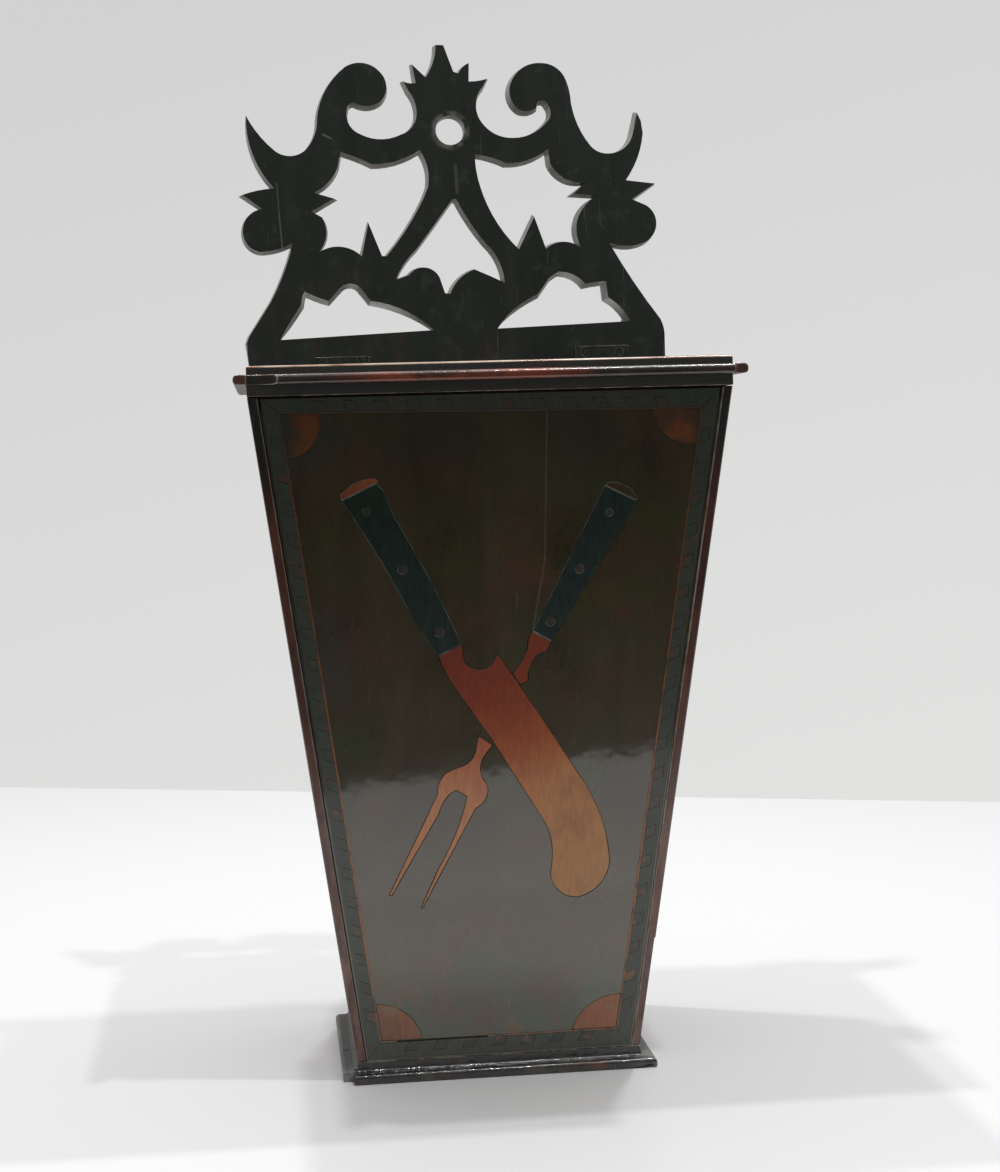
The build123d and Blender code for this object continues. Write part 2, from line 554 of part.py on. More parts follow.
mould_z = LID_Z1 - LID_MOULD_DROP - LID_MOULD_H
lid_section = (LID_MOULD_W, LID_MOULD_H, (LID_NOSE_R, LID_NOSE_R), 0)
lid_moulding_front = moulding(
    *lid_section,
    lambda out, up: (-lid_hw, lid_front - out, mould_z + up), (2 * lid_hw, 0, 0))
nose_y = lid_front - LID_MOULD_W
chip_y = lid_front - LID_CHIP_LEFT
lid_moulding_front -= prism(
    [(-lid_hw - 1, nose_y - 1, mould_z - 1), (-lid_hw + LID_CHIP_L + 2, nose_y - 1, mould_z - 1),
     (-lid_hw + LID_CHIP_L, nose_y + 1, mould_z - 1),
     (-lid_hw + LID_CHIP_L * 0.72, chip_y - 1.2, mould_z - 1),
     (-lid_hw + LID_CHIP_L * 0.4, chip_y, mould_z - 1), (-lid_hw - 1, chip_y, mould_z - 1)],
    (0, 0, LID_MOULD_H + 2))
lid_mouldings = {}
for name, s in (("left", -1), ("right", 1)):
    lid_mouldings[name] = moulding(
        *lid_section,
        lambda out, up, s=s: (s * (lid_hw + out), lid_back, mould_z + up),
        (0, nose_y - lid_back, 0))

# ---------------------------------------------------------------- hinges
# Seen along the pin, every leaf is the same: "out" runs along the plate away from the
# pin, "off" from the pin toward the wood.
STEP = LEAF_L / KNUCKLES
LEAF_X = (LEAF_IN[0] - half_w(BODY_Z1), half_w(BODY_Z1) - LEAF_IN[1])
TAB = KNUCKLE_R + 0.3     # the plate proper starts clear of the other leaf's knuckles


def bar(x0, x1, out0, out1, off0, off1, place):
    """Block between two places along the pin."""
    return prism([place(x0, out0, off0), place(x0, out1, off0), place(x0, out1, off1),
                  place(x0, out0, off1)], (x1 - x0, 0, 0))


def leaf(mid, width, own, place):
    """Leaf of a butt hinge with its knuckles at the places listed in own."""
    x0 = mid - LEAF_L / 2
    body = bar(x0, x0 + LEAF_L, TAB, width, PIN_OFF - LEAF_T, PIN_OFF, place)
    for k in own:
        a = x0 + k * STEP + (KNUCKLE_GAP / 2 if k else 0)
        b = x0 + (k + 1) * STEP - (KNUCKLE_GAP / 2 if k < KNUCKLES - 1 else 0)
        barrel = peg(KNUCKLE_R, b - a, KNUCKLE_SIDES)
        body += Pos((a + b) / 2, PIN_Y, PIN_Z) * Rot(0, 90, 0) * barrel
        body += bar(a, b, 0, TAB, PIN_OFF - LEAF_T, PIN_OFF, place)
    return body - Pos(mid, PIN_Y, PIN_Z) * Rot(0, 90, 0) * Cylinder(PIN_R + PIN_PLAY, LEAF_L * 2)


HEAD_TAPER = math.degrees(math.atan(
    (SCREW_HEAD_R - SCREW_R) * math.cos(math.pi / HEAD_SIDES) / LEAF_T))


def shank(play):
    """Cut shank of a screw, or the hole bored for it, down from the origin plane."""
    return Pos(0, 0, -SCREW_L / 2) * peg(SCREW_R + play, SCREW_L + 2 * play, SHANK_SIDES)


def head(play):
    """Countersunk head of a screw, or its seat, as deep as a leaf is thick."""
    return extrude(RegularPolygon(SCREW_HEAD_R + play, HEAD_SIDES), amount=LEAF_T,
                   dir=(0, 0, -1), taper=HEAD_TAPER)


def screw(turn):
    """Countersunk wood screw along -Z, its head flush with the origin plane."""
    slot = Rot(0, 0, turn) * Box(SCREW_HEAD_R * 3, SLOT_W, 2 * SLOT_DEEP)
    return head(0) + shank(0) - slot


def on_board(x, out, off):
    return (x, PIN_Y + off, PIN_Z + out)


def on_lid(x, out, off):
    return (x, PIN_Y - out, PIN_Z - off)


hinges, board_screws, lid_screws = {}, [], []
turns = iter((20, 75, -35, 10, 60, -15, 80, 35))
for side, mid, width, out in zip(("left", "right"), LEAF_X, BOARD_LEAF_W, BOARD_SCREW_OUT):
    board_leaf = leaf(mid, width, (0, 2), on_board)
    lid_leaf = leaf(mid, LEAF_W, (1,), on_lid)
    for s in (-1, 1):
        face_off = PIN_OFF - LEAF_T
        at_board = Pos(*on_board(mid + s * SCREW_X, out, face_off)) * Rot(90, 0, 0)
        at_lid = Pos(*on_lid(mid + s * SCREW_X, SCREW_OUT, face_off))
        board_leaf -= at_board * head(PIN_PLAY)
        backboard -= at_board * shank(PIN_PLAY)
        board_screws.append(at_board * screw(next(turns)))
        lid_leaf -= at_lid * head(PIN_PLAY)
        lid_board -= at_lid * shank(PIN_PLAY)
        lid_screws.append(at_lid * screw(next(turns)))
    hinges[f"hinge_{side}_board_leaf"] = board_leaf
    hinges[f"hinge_{side}_lid_leaf"] = lid_leaf
    hinges[f"hinge_{side}_pin"] = Pos(mid, PIN_Y, PIN_Z) * Rot(0, 90, 0) * Cylinder(PIN_R, LEAF_L)

# ---------------------------------------------------------------- parts
nodes = {
    "backboard": backboard,
    **sides,
    "front_panel": front_panel,
    "bottom_board": bottom_board,
    "base_moulding_front": base_moulding_front,
    "base_moulding_left": base_moulding_left,
    "base_moulding_right": base_moulding_right,
    **inlay,
    "lid_board": lid_board,
    "lid_moulding_front": lid_moulding_front,
    "lid_moulding_left": lid_mouldings["left"],
    "lid_moulding_right": lid_mouldings["right"],
    **hinges,
    "hinge_screws_board": Compound(children=board_screws),
    "hinge_screws_lid": Compound(children=lid_screws),
}
for name, shape in nodes.items():
    export_step(shape, f"parts/{name}.step")
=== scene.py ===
"""Antique hanging knife box: finishes, worn edges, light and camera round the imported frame."""

import json
import logging
import math
from dataclasses import dataclass
from enum import Enum
from typing import Any, Callable, Dict, Optional, Sequence, Tuple

import bpy
from mathutils import Euler, Matrix, Vector


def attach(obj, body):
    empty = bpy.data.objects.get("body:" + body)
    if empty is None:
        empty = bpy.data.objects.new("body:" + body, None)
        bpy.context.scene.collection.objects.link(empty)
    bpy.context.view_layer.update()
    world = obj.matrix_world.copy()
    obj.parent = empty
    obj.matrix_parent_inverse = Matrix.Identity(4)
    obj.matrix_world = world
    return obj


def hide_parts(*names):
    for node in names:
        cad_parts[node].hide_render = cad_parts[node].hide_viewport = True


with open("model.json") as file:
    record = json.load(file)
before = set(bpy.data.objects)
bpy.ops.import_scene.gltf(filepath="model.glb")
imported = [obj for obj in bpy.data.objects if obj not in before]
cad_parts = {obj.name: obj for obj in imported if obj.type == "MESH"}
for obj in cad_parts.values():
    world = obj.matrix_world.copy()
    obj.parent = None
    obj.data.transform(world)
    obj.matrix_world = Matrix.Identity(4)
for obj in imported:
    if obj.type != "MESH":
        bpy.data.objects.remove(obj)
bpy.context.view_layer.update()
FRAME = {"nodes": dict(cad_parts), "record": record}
LOG = logging.getLogger("knife_box")
MM = 0.001

Tree = bpy.types.NodeTree
Socket = bpy.types.NodeSocket
Material = bpy.types.Material
Piece = bpy.types.Object
Point = Tuple[float, float]
Place = Tuple[float, float, float]
Span = Tuple[str, float, float]     # axis, mm at which a tone begins, mm at which it is full

BODY_OF: Dict[str, str] = {
    node: body for body, names in FRAME["record"]["behaviour"]["bodies"].items()
    for node in names}

# Sizes of the box in mm; heights are from the table.
FLOOR_TOP = 10.5          # upper face of the bottom board
CASE_H = 350.0            # from there to the top of the case
BASE_DEPTH = 115.0        # of the case, from the backboard to the slope's foot
TOP_DEPTH = 172.0         # and to its top
BOARD_FACE = 83.7         # front of the backboard, from the box's middle
BOARD_REAR = 95.7
HOLE_X, HOLE_Z = -1.4, 514.2        # middle of the hanging hole
RUB_R = 9.0               # the finish is rubbed away from here outward


def linear(colour: str) -> Tuple[float, float, float, float]:
    """Turn an sRGB hex colour into the linear values that a shader takes.

    Args:
        colour: six hex digits, such as "5a3020".

    Returns:
        Linear red, green, blue and an alpha of 1.
    """
    parts = [int(colour[i:i + 2], 16) / 255 for i in (0, 2, 4)]
    return (*[c / 12.92 if c <= 0.04045 else ((c + 0.055) / 1.055) ** 2.4 for c in parts], 1.0)


def add_node(tree: Tree, kind: str, sockets: Optional[Dict[Any, Any]] = None,
             stops: Optional[Sequence[Tuple[float, str]]] = None,
             **settings: Any) -> bpy.types.Node:
    """Add a shader node with its settings and its links.

    Args:
        tree: the node tree that gets the node.
        kind: Blender's name for the node type.
        sockets: input name or number to a value or to the output socket that feeds it.
        stops: places and hex colours of a colour ramp.
        settings: attributes to set on the node.

    Returns:
        The new node.
    """
    node = tree.nodes.new(kind)
    for key, value in settings.items():
        setattr(node, key, value)
    for key, value in (sockets or {}).items():
        if isinstance(value, Socket):
            tree.links.new(value, node.inputs[key])
        else:
            node.inputs[key].default_value = value
    if stops:
        ramp = node.color_ramp.elements
        while len(ramp) < len(stops):
            ramp.new(1.0)
        for element, (place, colour) in zip(ramp, stops):
            element.position = place
            element.color = linear(colour)
    return node


def start_material(name: str) -> Tuple[Material, Tree, Socket]:
    """Start a material whose patterns follow object coordinates.

    Args:
        name: the finish, in a maker's words.

    Returns:
        The material, its empty node tree and the object coordinates.
    """
    mat = bpy.data.materials.new(name)
    mat.use_nodes = True
    mat.node_tree.nodes.clear()
    coords = add_node(mat.node_tree, "ShaderNodeTexCoord").outputs["Object"]
    return mat, mat.node_tree, coords


class Grain(Enum):
    """Which way the long grain of a board runs, as squeeze factors along X, Y and Z."""

    UPRIGHT = (1.0, 1.0, 0.07)
    ACROSS = (0.07, 1.0, 1.0)
    INWARD = (1.0, 0.07, 1.0)


# ---- the slope
@dataclass(frozen=True)
class Slope:
    """The slanting front face, on which the inlay is drawn flat."""

    foot_y: float = (BOARD_FACE - BASE_DEPTH) * MM
    foot_z: float = FLOOR_TOP * MM
    lean: float = math.atan((TOP_DEPTH - BASE_DEPTH) / CASE_H)

    def point(self, x: float, s: float) -> Vector:
        """Place in the room of a point x mm from the middle and s mm up the slope."""
        return Vector((x * MM, self.foot_y - s * MM * math.sin(self.lean),
                       self.foot_z + s * MM * math.cos(self.lean)))


SLOPE = Slope()


# ---- finishes
class Mark:
    """Something of another colour that lies over a finish."""

    colour: str

    def mask(self, tree: Tree, coords: Socket) -> Socket:
        """Tell where the mark is.

        Args:
            tree: the node tree.
            coords: object coordinates.

        Returns:
            How much of the surface it hides, 0 to 1.
        """
        raise NotImplementedError

    def lay(self, tree: Tree, coords: Socket, surface: Socket) -> Socket:
        """Lay the mark over a colour.

        Args:
            tree: the node tree.
            coords: object coordinates.
            surface: the colour so far.

        Returns:
            The colour with the mark on it.
        """
        return add_node(tree, "ShaderNodeMix", {
            0: self.mask(tree, coords), 6: surface, 7: linear(self.colour)},
            data_type="RGBA").outputs[2]


@dataclass(frozen=True)
class Tint(Mark):
    """Patches of another tone: stain, fading, dirt or polish worn thin."""

    colour: str
    patch_mm: float
    low: float = 0.5          # value of the noise at which a patch begins
    high: float = 0.65        # and at which it is full
    strength: float = 0.6
    span: Optional[Span] = None
    stretch: Place = (1.0, 1.0, 1.0)
    detail: float = 4.0

    @classmethod
    def wash(cls, colour: str, strength: float, span: Span) -> "Tint":
        """Make an even tone without patches that comes in along an axis."""
        return cls(colour, 60.0, 0.0, 0.1, strength, span)

    def mask(self, tree: Tree, coords: Socket) -> Socket:
        """Tell where the patches lie, as in Mark."""
        place = add_node(tree, "ShaderNodeMapping", {"Vector": coords, "Scale": self.stretch})
        noise = add_node(tree, "ShaderNodeTexNoise", {
            "Vector": place.outputs[0], "Scale": 1 / (self.patch_mm * MM),
            "Detail": self.detail, "Roughness": 0.6})
        mask = add_node(tree, "ShaderNodeMapRange", {
            "Value": noise.outputs["Fac"], "From Min": self.low, "From Max": self.high,
            "To Max": self.strength}, interpolation_type="SMOOTHSTEP").outputs[0]
        if self.span is None:
            return mask
        axis, none, full = self.span
        axes = add_node(tree, "ShaderNodeSeparateXYZ", {0: coords})
        fade = add_node(tree, "ShaderNodeMapRange", {
            "Value": axes.outputs[axis], "From Min": none * MM, "From Max": full * MM},
            interpolation_type="SMOOTHSTEP")
        return add_node(tree, "ShaderNodeMath", {0: mask, 1: fade.outputs[0]},
                        operation="MULTIPLY").outputs[0]


@dataclass(frozen=True)
class Ring(Mark):
    """Polish rubbed away round a hole."""

    centre: Place             # mm
    radius: float
    width: float
    colour: str
    strength: float = 0.6
    patch_mm: float = 6.0     # the rubbing comes and goes in patches

    def mask(self, tree: Tree, coords: Socket) -> Socket:
        """Tell where the ring lies, as in Mark."""
        away = add_node(tree, "ShaderNodeVectorMath", {
            0: coords, 1: Vector(self.centre) * MM}, operation="DISTANCE")
        fade = add_node(tree, "ShaderNodeMapRange", {
            "Value": away.outputs["Value"], "From Min": self.radius * MM,
            "From Max": (self.radius + self.width) * MM, "To Min": self.strength,
            "To Max": 0.0}, interpolation_type="SMOOTHSTEP")
        patches = add_node(tree, "ShaderNodeTexNoise", {
            "Vector": coords, "Scale": 1 / (self.patch_mm * MM), "Detail": 3.0})
        where = add_node(tree, "ShaderNodeMapRange", {
            "Value": patches.outputs["Fac"], "From Min": 0.38, "From Max": 0.58})
        return add_node(tree, "ShaderNodeMath", {0: fade.outputs[0], 1: where.outputs[0]},
                        operation="MULTIPLY").outputs[0]


@dataclass(frozen=True)
class Hairline(Mark):
    """A crack, a rub or a painted shadow that runs straight between two points of a surface."""

    start: Vector             # metres
    end: Vector
    half_width: float         # mm
    colour: str
    strength: float           # how much of the surface it hides, 0 to 1

    def mask(self, tree: Tree, coords: Socket) -> Socket:
        """Tell where the line lies, as in Mark."""
        run = self.end - self.start
        offset = add_node(tree, "ShaderNodeVectorMath", {0: coords, 1: self.start},
                          operation="SUBTRACT")
        along = add_node(tree, "ShaderNodeVectorMath", {
            0: offset.outputs[0], 1: run / run.length_squared}, operation="DOT_PRODUCT")
        kept = add_node(tree, "ShaderNodeClamp", {0: along.outputs["Value"]})
        nearest = add_node(tree, "ShaderNodeVectorMath", {0: run, "Scale": kept.outputs[0]},
                           operation="SCALE")
        away = add_node(tree, "ShaderNodeVectorMath", {
            0: offset.outputs[0], 1: nearest.outputs[0]}, operation="DISTANCE")
        return add_node(tree, "ShaderNodeMapRange", {
            "Value": away.outputs["Value"], "From Min": self.half_width * 0.6 * MM,
            "From Max": self.half_width * 1.4 * MM, "To Min": self.strength,
            "To Max": 0.0}).outputs[0]


@dataclass(frozen=True)
class PolishedWood:
    """Mahogany under old French polish: long dark pores under a thin glossy film.

    The film gives a clear, slightly rippled reflection over a dark, low-contrast figure.
    """

    name: str
    dark: str
    mid: str
    light: str
    grain: Grain
    figure_mm: float = 16.0
    tones_at: Place = (0.30, 0.52, 0.78)    # noise values of the three tones
    pore_mm: float = 1.8      # real pores are finer; drawn this coarse so that they show
    pore_at: Point = (0.56, 0.70)           # noise values: no pore, all pore
    pores: float = 0.65       # how dark they are
    roughness: float = 0.32
    ior: float = 1.5
    film: float = 0.6
    film_roughness: float = 0.14
    film_ior: float = 1.5
    ripple_mm: float = 7.0    # size of the waves in the film
    ripple: float = 0.10
    dust_mm: float = 1.3
    mottle: float = 0.14      # how much dust and fine wear change the tone
    sheen_mm: float = 28.0    # size of the patches in which the polish is duller
    scratches: float = 0.25
    scratch_colour: str = "6f675c"
    scratch_sets: Tuple[Point, ...] = ((0.35, 1.3), (-0.9, 1.8))      # turn, size in mm
    scratch_patch_mm: float = 22.0
    tints: Tuple[Mark, ...] = ()
    lines: Tuple[Hairline, ...] = ()

    def material(self) -> Material:
        """Build the node material.

        Returns:
            The finished material.
        """
        mat, tree, coords = start_material(self.name)
        surface, pores = self._figured(tree, coords)
        for tint in self.tints:
            surface = tint.lay(tree, coords, surface)
        surface = self._aged(tree, coords, surface)
        for line in self.lines:
            surface = line.lay(tree, coords, surface)
        ripple = add_node(tree, "ShaderNodeTexNoise", {
            "Vector": coords, "Scale": 1 / (self.ripple_mm * MM), "Detail": 2.0})
        waved = add_node(tree, "ShaderNodeBump", {
            "Height": ripple.outputs["Fac"], "Strength": self.ripple, "Distance": 0.6 * MM})
        pitted = add_node(tree, "ShaderNodeBump", {
            "Height": pores, "Strength": 0.25, "Distance": 0.12 * MM,
            "Normal": waved.outputs["Normal"]})
        sheen = add_node(tree, "ShaderNodeTexNoise", {
            "Vector": coords, "Scale": 1 / (self.sheen_mm * MM), "Detail": 4.0})
        rough = add_node(tree, "ShaderNodeMapRange", {
            "Value": sheen.outputs["Fac"], "From Min": 0.3, "From Max": 0.7,
            "To Min": self.roughness - 0.06, "To Max": self.roughness + 0.10})
        shader = add_node(tree, "ShaderNodeBsdfPrincipled", {
            "Base Color": surface, "Roughness": rough.outputs[0], "IOR": self.ior,
            "Coat Weight": self.film, "Coat Roughness": self.film_roughness,
            "Coat IOR": self.film_ior, "Normal": pitted.outputs["Normal"],
            "Coat Normal": waved.outputs["Normal"]})
        add_node(tree, "ShaderNodeOutputMaterial", {"Surface": shader.outputs[0]})
        return mat

    def _figured(self, tree: Tree, coords: Socket) -> Tuple[Socket, Socket]:
        """Draw the figure of the wood with its pores.

        Args:
            tree: the node tree.
            coords: object coordinates.

        Returns:
            The colour, and the pores as a height.
        """
        squeeze = self.grain.value
        along = add_node(tree, "ShaderNodeMapping", {"Vector": coords, "Scale": squeeze})
        figure = add_node(tree, "ShaderNodeTexNoise", {
            "Vector": along.outputs[0], "Scale": 1 / (self.figure_mm * MM), "Detail": 5.0,
            "Roughness": 0.55, "Distortion": 0.5})
        colour = add_node(tree, "ShaderNodeValToRGB", {"Fac": figure.outputs["Fac"]},
                          stops=list(zip(self.tones_at, (self.dark, self.mid, self.light))))
        drawn_out = add_node(tree, "ShaderNodeMapping", {
            "Vector": along.outputs[0],
            "Scale": tuple(0.45 if k < 0.5 else 1.0 for k in squeeze)})
        pores = add_node(tree, "ShaderNodeTexNoise", {
            "Vector": drawn_out.outputs[0], "Scale": 1 / (self.pore_mm * MM), "Detail": 2.0})
        none, full = self.pore_at
        mask = add_node(tree, "ShaderNodeMapRange", {
            "Value": pores.outputs["Fac"], "From Min": none, "From Max": full,
            "To Max": self.pores})
        toned = add_node(tree, "ShaderNodeMix", {
            0: mask.outputs[0], 6: colour.outputs["Color"], 7: linear(self.dark)},
            data_type="RGBA")
        return toned.outputs[2], pores.outputs["Fac"]

    def _aged(self, tree: Tree, coords: Socket, surface: Socket) -> Socket:
        """Vary the tone as dust does and add crossing sets of fine scratches.

        Args:
            tree: the node tree.
            coords: object coordinates.
            surface: the colour so far.

        Returns:
            The colour with dust and scratches on it.
        """
        dust = add_node(tree, "ShaderNodeTexNoise", {
            "Vector": coords, "Scale": 1 / (self.dust_mm * MM), "Detail": 3.0,
            "Roughness": 0.7})
        mottled = add_node(tree, "ShaderNodeMapRange", {
            "Value": dust.outputs["Fac"], "From Min": 0.3, "From Max": 0.7,
            "To Min": 1.0 - self.mottle, "To Max": 1.0 + self.mottle})
        surface = add_node(tree, "ShaderNodeVectorMath", {
            0: surface, "Scale": mottled.outputs[0]}, operation="SCALE").outputs[0]
        for turn, size in self.scratch_sets:
            place = add_node(tree, "ShaderNodeMapping", {
                "Vector": coords, "Rotation": Euler((0.0, turn, 0.0)),
                "Scale": (1.0, 0.3, 0.03)})
            fine = add_node(tree, "ShaderNodeTexNoise", {
                "Vector": place.outputs[0], "Scale": 1 / (size * MM), "Detail": 1.0})
            patches = add_node(tree, "ShaderNodeTexNoise", {
                "Vector": coords, "Scale": 1 / (self.scratch_patch_mm * MM), "Detail": 1.0})
            mask = add_node(tree, "ShaderNodeMapRange", {
                "Value": fine.outputs["Fac"], "From Min": 0.72, "From Max": 0.80})
            where = add_node(tree, "ShaderNodeMapRange", {
                "Value": patches.outputs["Fac"], "From Min": 0.45, "From Max": 0.65,
                "To Max": self.scratches})
            amount = add_node(tree, "ShaderNodeMath", {
                0: mask.outputs[0], 1: where.outputs[0]}, operation="MULTIPLY")
            surface = add_node(tree, "ShaderNodeMix", {
                0: amount.outputs[0], 6: surface, 7: linear(self.scratch_colour)},
                data_type="RGBA").outputs[2]
        return surface


@dataclass(frozen=True)
class WornArris:
    """Polish rubbed through along an edge: paler bare mahogany, burnished by hands. On some edges
    and on the saw cuts the pale tone is also a painted highlight.
    """

    name: str
    dark: str
    light: str
    roughness: float = 0.3
    worn: Point = (0.38, 0.66)      # noise values: unworn, bare
    film: float = 0.5
    patch_mm: float = 9.0

    def material(self) -> Material:
        """Build the node material.

        Returns:
            The finished material.
        """
        mat, tree, coords = start_material(self.name)
        rub = add_node(tree, "ShaderNodeTexNoise", {
            "Vector": coords, "Scale": 1 / (self.patch_mm * MM), "Detail": 4.0,
            "Roughness": 0.6})
        colour = add_node(tree, "ShaderNodeValToRGB", {"Fac": rub.outputs["Fac"]},
                          stops=[(self.worn[0], self.dark), (self.worn[1], self.light)])
        bump = add_node(tree, "ShaderNodeBump", {
            "Height": rub.outputs["Fac"], "Strength": 0.2, "Distance": 0.3 * MM})
        shader = add_node(tree, "ShaderNodeBsdfPrincipled", {
            "Base Color": colour.outputs["Color"], "Roughness": self.roughness, "IOR": 1.5,
            "Coat Weight": self.film, "Coat Roughness": 0.2, "Normal": bump.outputs["Normal"]})
        add_node(tree, "ShaderNodeOutputMaterial", {"Surface": shader.outputs[0]})
        return mat


@dataclass(frozen=True)
class Marquetry:
    """Thin sawn veneer let in and polished over: tone drifts along the piece.

    The tone comes from stain, scorching in hot sand and fading, so it changes smoothly from
    one end to the other, with fine straight grain in it.
    """

    name: str
    start: Point
    end: Point
    tones: Tuple[Tuple[float, str], ...]
    roughness: float = 0.36
    film: float = 0.5
    figure: float = 0.10      # contrast of the grain
    grain_mm: float = 1.6
    drift_mm: float = 11.0    # size of the patches by which the tones wander
    wander: float = 0.16      # and how far, as a share of the run
    tints: Tuple[Tint, ...] = ()

    def material(self) -> Material:
        """Build the node material.

        Returns:
            The finished material.
        """
        mat, tree, coords = start_material(self.name)
        start = SLOPE.point(*self.start)
        run = SLOPE.point(*self.end) - start
        offset = add_node(tree, "ShaderNodeVectorMath", {0: coords, 1: start},
                          operation="SUBTRACT")
        along = add_node(tree, "ShaderNodeVectorMath", {
            0: offset.outputs[0], 1: run / run.length_squared}, operation="DOT_PRODUCT")
        drift = add_node(tree, "ShaderNodeTexNoise", {
            "Vector": coords, "Scale": 1 / (self.drift_mm * MM), "Detail": 3.0})
        wander = add_node(tree, "ShaderNodeMath", {
            0: drift.outputs["Fac"], 1: self.wander, 2: -self.wander / 2},
            operation="MULTIPLY_ADD")
        place = add_node(tree, "ShaderNodeMath", {
            0: along.outputs["Value"], 1: wander.outputs[0]}, operation="ADD")
        tone = add_node(tree, "ShaderNodeValToRGB", {"Fac": place.outputs[0]},
                        stops=self.tones)
        turn = math.atan2(run.x, run.z)
        grain_at = add_node(tree, "ShaderNodeMapping", {
            "Vector": coords, "Rotation": Euler((0.0, -turn, 0.0)), "Scale": (1.0, 1.0, 0.05)})
        grain = add_node(tree, "ShaderNodeTexNoise", {
            "Vector": grain_at.outputs[0], "Scale": 1 / (self.grain_mm * MM), "Detail": 3.0})
        depth = add_node(tree, "ShaderNodeMapRange", {
            "Value": grain.outputs["Fac"], "From Min": 0.3, "From Max": 0.7,
            "To Min": 1.0 - 1.4 * self.figure, "To Max": 1.0 + self.figure})
        surface = add_node(tree, "ShaderNodeVectorMath", {
            0: tone.outputs["Color"], "Scale": depth.outputs[0]},
            operation="SCALE").outputs[0]
        for tint in self.tints:
            surface = tint.lay(tree, coords, surface)
        bump = add_node(tree, "ShaderNodeBump", {
            "Height": grain.outputs["Fac"], "Strength": 0.15, "Distance": 0.1 * MM})
        shader = add_node(tree, "ShaderNodeBsdfPrincipled", {
            "Base Color": surface, "Roughness": self.roughness, "IOR": 1.4,
            "Coat Weight": self.film, "Coat Roughness": 0.12,
            "Normal": bump.outputs["Normal"]})
        add_node(tree, "ShaderNodeOutputMaterial", {"Surface": shader.outputs[0]})
        return mat


@dataclass(frozen=True)
class AgedBrass:
    """Cast and filed brass gone brown-black with age and old polish."""

    name: str
    bright: str = "474b40"
    browned: str = "30342a"
    roughness: float = 0.42
    metal: float = 0.3        # the brown skin shines far less than bare brass
    patina_mm: float = 5.0
    tones_at: Point = (0.42, 0.74)      # noise values: browned, bright

    def material(self) -> Material:
        """Build the node material.

        Returns:
            The finished material.
        """
        mat, tree, coords = start_material(self.name)
        patina = add_node(tree, "ShaderNodeTexNoise", {
            "Vector": coords, "Scale": 1 / (self.patina_mm * MM), "Detail": 4.0})
        colour = add_node(tree, "ShaderNodeValToRGB", {"Fac": patina.outputs["Fac"]},
                          stops=list(zip(self.tones_at, (self.browned, self.bright))))
        bump = add_node(tree, "ShaderNodeBump", {
            "Height": patina.outputs["Fac"], "Strength": 0.2, "Distance": 0.1 * MM})
        shader = add_node(tree, "ShaderNodeBsdfPrincipled", {
            "Base Color": colour.outputs["Color"], "Metallic": self.metal,
            "Roughness": self.roughness, "Normal": bump.outputs["Normal"]})
        add_node(tree, "ShaderNodeOutputMaterial", {"Surface": shader.outputs[0]})
        return mat


# ---- pieces
@dataclass
class Softened:
    """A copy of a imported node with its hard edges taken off, as wear leaves them."""

    node: str
    width_mm: float
    segments: int = 2
    angle: float = 30.0       # degrees; flatter edges than this are left alone
    merge_mm: float = 0.01    # points nearer than this become one
    flat_deg: float = 0.6     # faces flatter than this become one
    smooth_deg: float = 35.0

    def build(self) -> Piece:
        """Copy the node and round the copy's edges.

        Returns:
            The new piece, riding and named for the node that it stands for.
        """
        piece = self._copy()
        self._round(piece)
        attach(piece, BODY_OF[self.node])
        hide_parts(self.node)
        return piece

    def _copy(self) -> Piece:
        """Copy the node and merge the copy into one skin.

        Returns:
            The copy, active and the only object selected.
        """
        source = FRAME["nodes"][self.node]
        piece = source.copy()
        piece.data = source.data.copy()
        piece.name = piece.data.name = f"worn_{self.node}"
        bpy.context.scene.collection.objects.link(piece)
        piece.parent = None
        piece.matrix_world = Matrix.Identity(4)
        bpy.ops.object.select_all(action="DESELECT")
        piece.select_set(True)
        bpy.context.view_layer.objects.active = piece
        bpy.ops.object.mode_set(mode="EDIT")
        bpy.ops.mesh.select_all(action="SELECT")
        bpy.ops.mesh.remove_doubles(threshold=self.merge_mm * MM)
        bpy.ops.mesh.dissolve_limited(angle_limit=math.radians(self.flat_deg))
        bpy.ops.object.mode_set(mode="OBJECT")
        return piece

    def _round(self, piece: Piece) -> None:
        """Round the hard edges; the rounds get the second material.

        Args:
            piece: the active object.
        """
        bevel = piece.modifiers.new("arris", "BEVEL")
        bevel.width = self.width_mm * MM
        bevel.segments = self.segments
        bevel.limit_method = "ANGLE"
        bevel.angle_limit = math.radians(self.angle)
        bevel.material = 1
        bevel.use_clamp_overlap = True
        while len(piece.data.materials) < 2:
            piece.data.materials.append(None)
        bpy.ops.object.modifier_apply(modifier=bevel.name)
        bpy.ops.object.shade_smooth_by_angle(angle=math.radians(self.smooth_deg))
        flat = piece.modifiers.new("flat faces", "WEIGHTED_NORMAL")
        flat.keep_sharp = True
        bpy.ops.object.modifier_apply(modifier=flat.name)


def dress(piece: Piece, face: Material,
          edge: Optional[Material] = None) -> None:
    """Give a piece its finish.

    Args:
        piece: the object to dress.
        face: material of its faces.
        edge: material of its worn edges, where it has any.
    """
    if not piece.data.materials:
        piece.data.materials.append(face)
    piece.data.materials[0] = face
    if edge is not None and len(piece.data.materials) > 1:
        piece.data.materials[1] = edge
    LOG.info("%s dressed as %s", piece.name, face.name)


